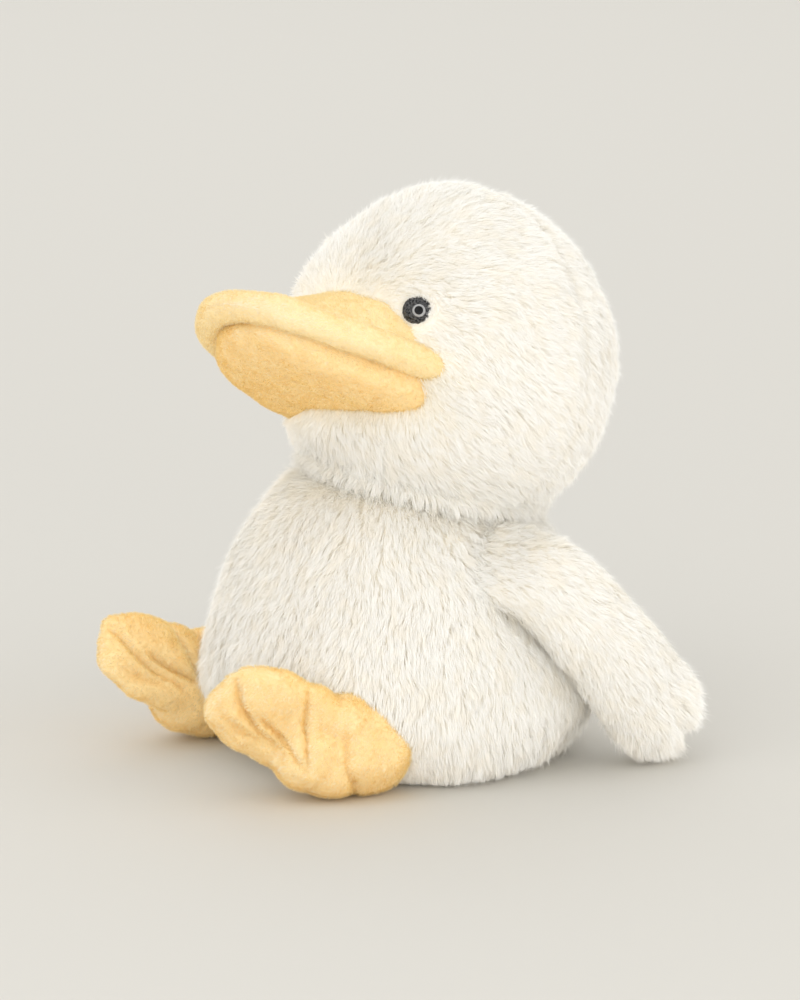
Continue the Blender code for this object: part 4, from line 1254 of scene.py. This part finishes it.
# The scene
bpy.context.scene.view_settings.view_transform = "Standard"
bpy.context.scene.cycles.diffuse_bounces = LIGHT_BOUNCES
make_camera()
make_world(strength=0.95, colour=(1.0, 0.995, 0.98), shown=(0.80, 0.795, 0.77))
make_floor(colour=(0.76, 0.73, 0.68), shown=(0.635, 0.62, 0.58))
add_lamp("key", turn=20, rise=50, distance=1.6, size=1.3, power=3.8, colour=(1.0, 0.985, 0.96))
add_lamp("front", turn=62, rise=4, distance=1.8, size=1.6, power=10, colour=(1.0, 0.98, 0.95))
add_lamp("fill", turn=130, rise=16, distance=1.8, size=1.6, power=5.5, colour=(1.0, 0.97, 0.93))
add_lamp("back", turn=245, rise=38, distance=1.7, size=1.5, power=3.5, colour=(1.0, 0.985, 0.96))

# Strands have a material for their tips and one for their roots and for tinted strands. The roots' colour is
# creamier and deeper than the tips', a painted warm shade deep in the pile, while on tinted strands it is a
# tone that differs at random.
STRAND_COLOURS = {
    "white_fur": (0.992, 0.988, 0.966), "cream_tint_and_painted_root_shade": (0.990, 0.970, 0.920),
    # The nap roots' deeper yellow is a painted shade deep in the nap; on tinted strands it is a tone that
    # differs at random
    "yellow_nap": (0.968, 0.892, 0.662), "yellow_tint_and_painted_root_shade": (0.962, 0.842, 0.522),
    # A paler copy of the yellow nap for the upper bill and rim, painted light on the lit top of the one
    # yellow fabric
    "painted_lit_nap": (0.966, 0.906, 0.715), "painted_lit_tint_and_root_shade": (0.962, 0.882, 0.660),
}
plain = {name: plain_material(name, colour) for name, colour in STRAND_COLOURS.items()}
WHITE = [plain["white_fur"], plain["cream_tint_and_painted_root_shade"]]
YELLOW = [plain["yellow_nap"], plain["yellow_tint_and_painted_root_shade"]]
PAINTED_LIT_YELLOW = [plain["painted_lit_nap"], plain["painted_lit_tint_and_root_shade"]]
# Each cloth's or plastic's light and dark colour, and its mottling's size, bump and roughness
CLOTH_LOOKS = {
    # The backing under the white fur is a deep cream: partly the fabric's own colour, partly a painted warm
    # shade that shows in the gaps between the strands
    "cream_backing_painted_warm_shade": ((0.985, 0.950, 0.880), (0.978, 0.930, 0.845), 0.012, 0.3, 0.95),
    "yellow_backing": ((0.975, 0.800, 0.460), (0.965, 0.755, 0.390), 0.012, 0.2, 0.95),
    # A paler copy of the yellow backing for the upper bill and rim, painted light on their lit top
    "painted_lit_yellow_backing": ((0.975, 0.840, 0.530), (0.970, 0.805, 0.470), 0.012, 0.2, 0.95),
    "sitting_panel": ((0.930, 0.900, 0.840), (0.880, 0.845, 0.780), 0.004, 0.5, 0.95),
    # The black eye's grey flecks are painted reflections
    "eye_plastic": ((0.004, 0.004, 0.005), (0.110, 0.110, 0.112), 0.0007, 0.1, 0.16),
    # The eye ring's pale grey is a painted highlight
    "eye_ring": ((0.400, 0.400, 0.405), (0.300, 0.300, 0.305), 0.0008, 0.05, 0.3),
    "eye_pupil": ((0.003, 0.003, 0.003), (0.010, 0.010, 0.010), 0.0010, 0.05, 0.2),
    "washer_plastic": ((0.820, 0.820, 0.800), (0.760, 0.760, 0.740), 0.002, 0.1, 0.5),
}
CLOTHS = {name: cloth_material(name, *look) for name, look in CLOTH_LOOKS.items()}
for name in ("eye_plastic", "eye_pupil"):
    CLOTHS[name].node_tree.nodes["Principled BSDF"].inputs["Specular IOR Level"].default_value = 0.2

# The fur of the head and the body makes way for the bill and the feet
bill_skins = {"bill_upper": upper_bill_skin(), "bill_rim": rim_skin(), "bill_lower": lower_bill_skin()}
for skin in bill_skins.values():
    skin.ruffled(*RUFFLES["bill"])
leg_forms = {name: whole_foot(*FOOT_SHAPES[name]).mirrored(side) for name, side in SIDES.items()}

build_body()
build_head()
build_neck()
build_tail()
for name, side in SIDES.items():
    build_wing(name, side)
# The upper bill and rim wear the paler yellow, painted light on the lit top; the lower bill wears the deeper
# yellow
build_bill_part("bill_upper", PAINTED_LIT_YELLOW, "painted_lit_yellow_backing", ("bill_upper_cover", "bill_upper_stuffing"))
build_bill_part("bill_rim", PAINTED_LIT_YELLOW, "painted_lit_yellow_backing", ("bill_rim",))
build_bill_part("bill_lower", YELLOW, "yellow_backing", ("bill_lower_cover", "bill_lower_stuffing"))
for name, side in SIDES.items():
    build_foot(name, side)
for name, side in SIDES.items():
    build_eye(name, side)

# The CAD nodes that show as they are
carried = {"base_panel": "sitting_panel"}
for name in SIDES:
    carried |= {f"eye_{name}": "eye_plastic", f"eye_washer_{name}": "washer_plastic"}
for node, cloth in carried.items():
    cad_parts[node].data.materials.clear()
    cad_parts[node].data.materials.append(CLOTHS[cloth])
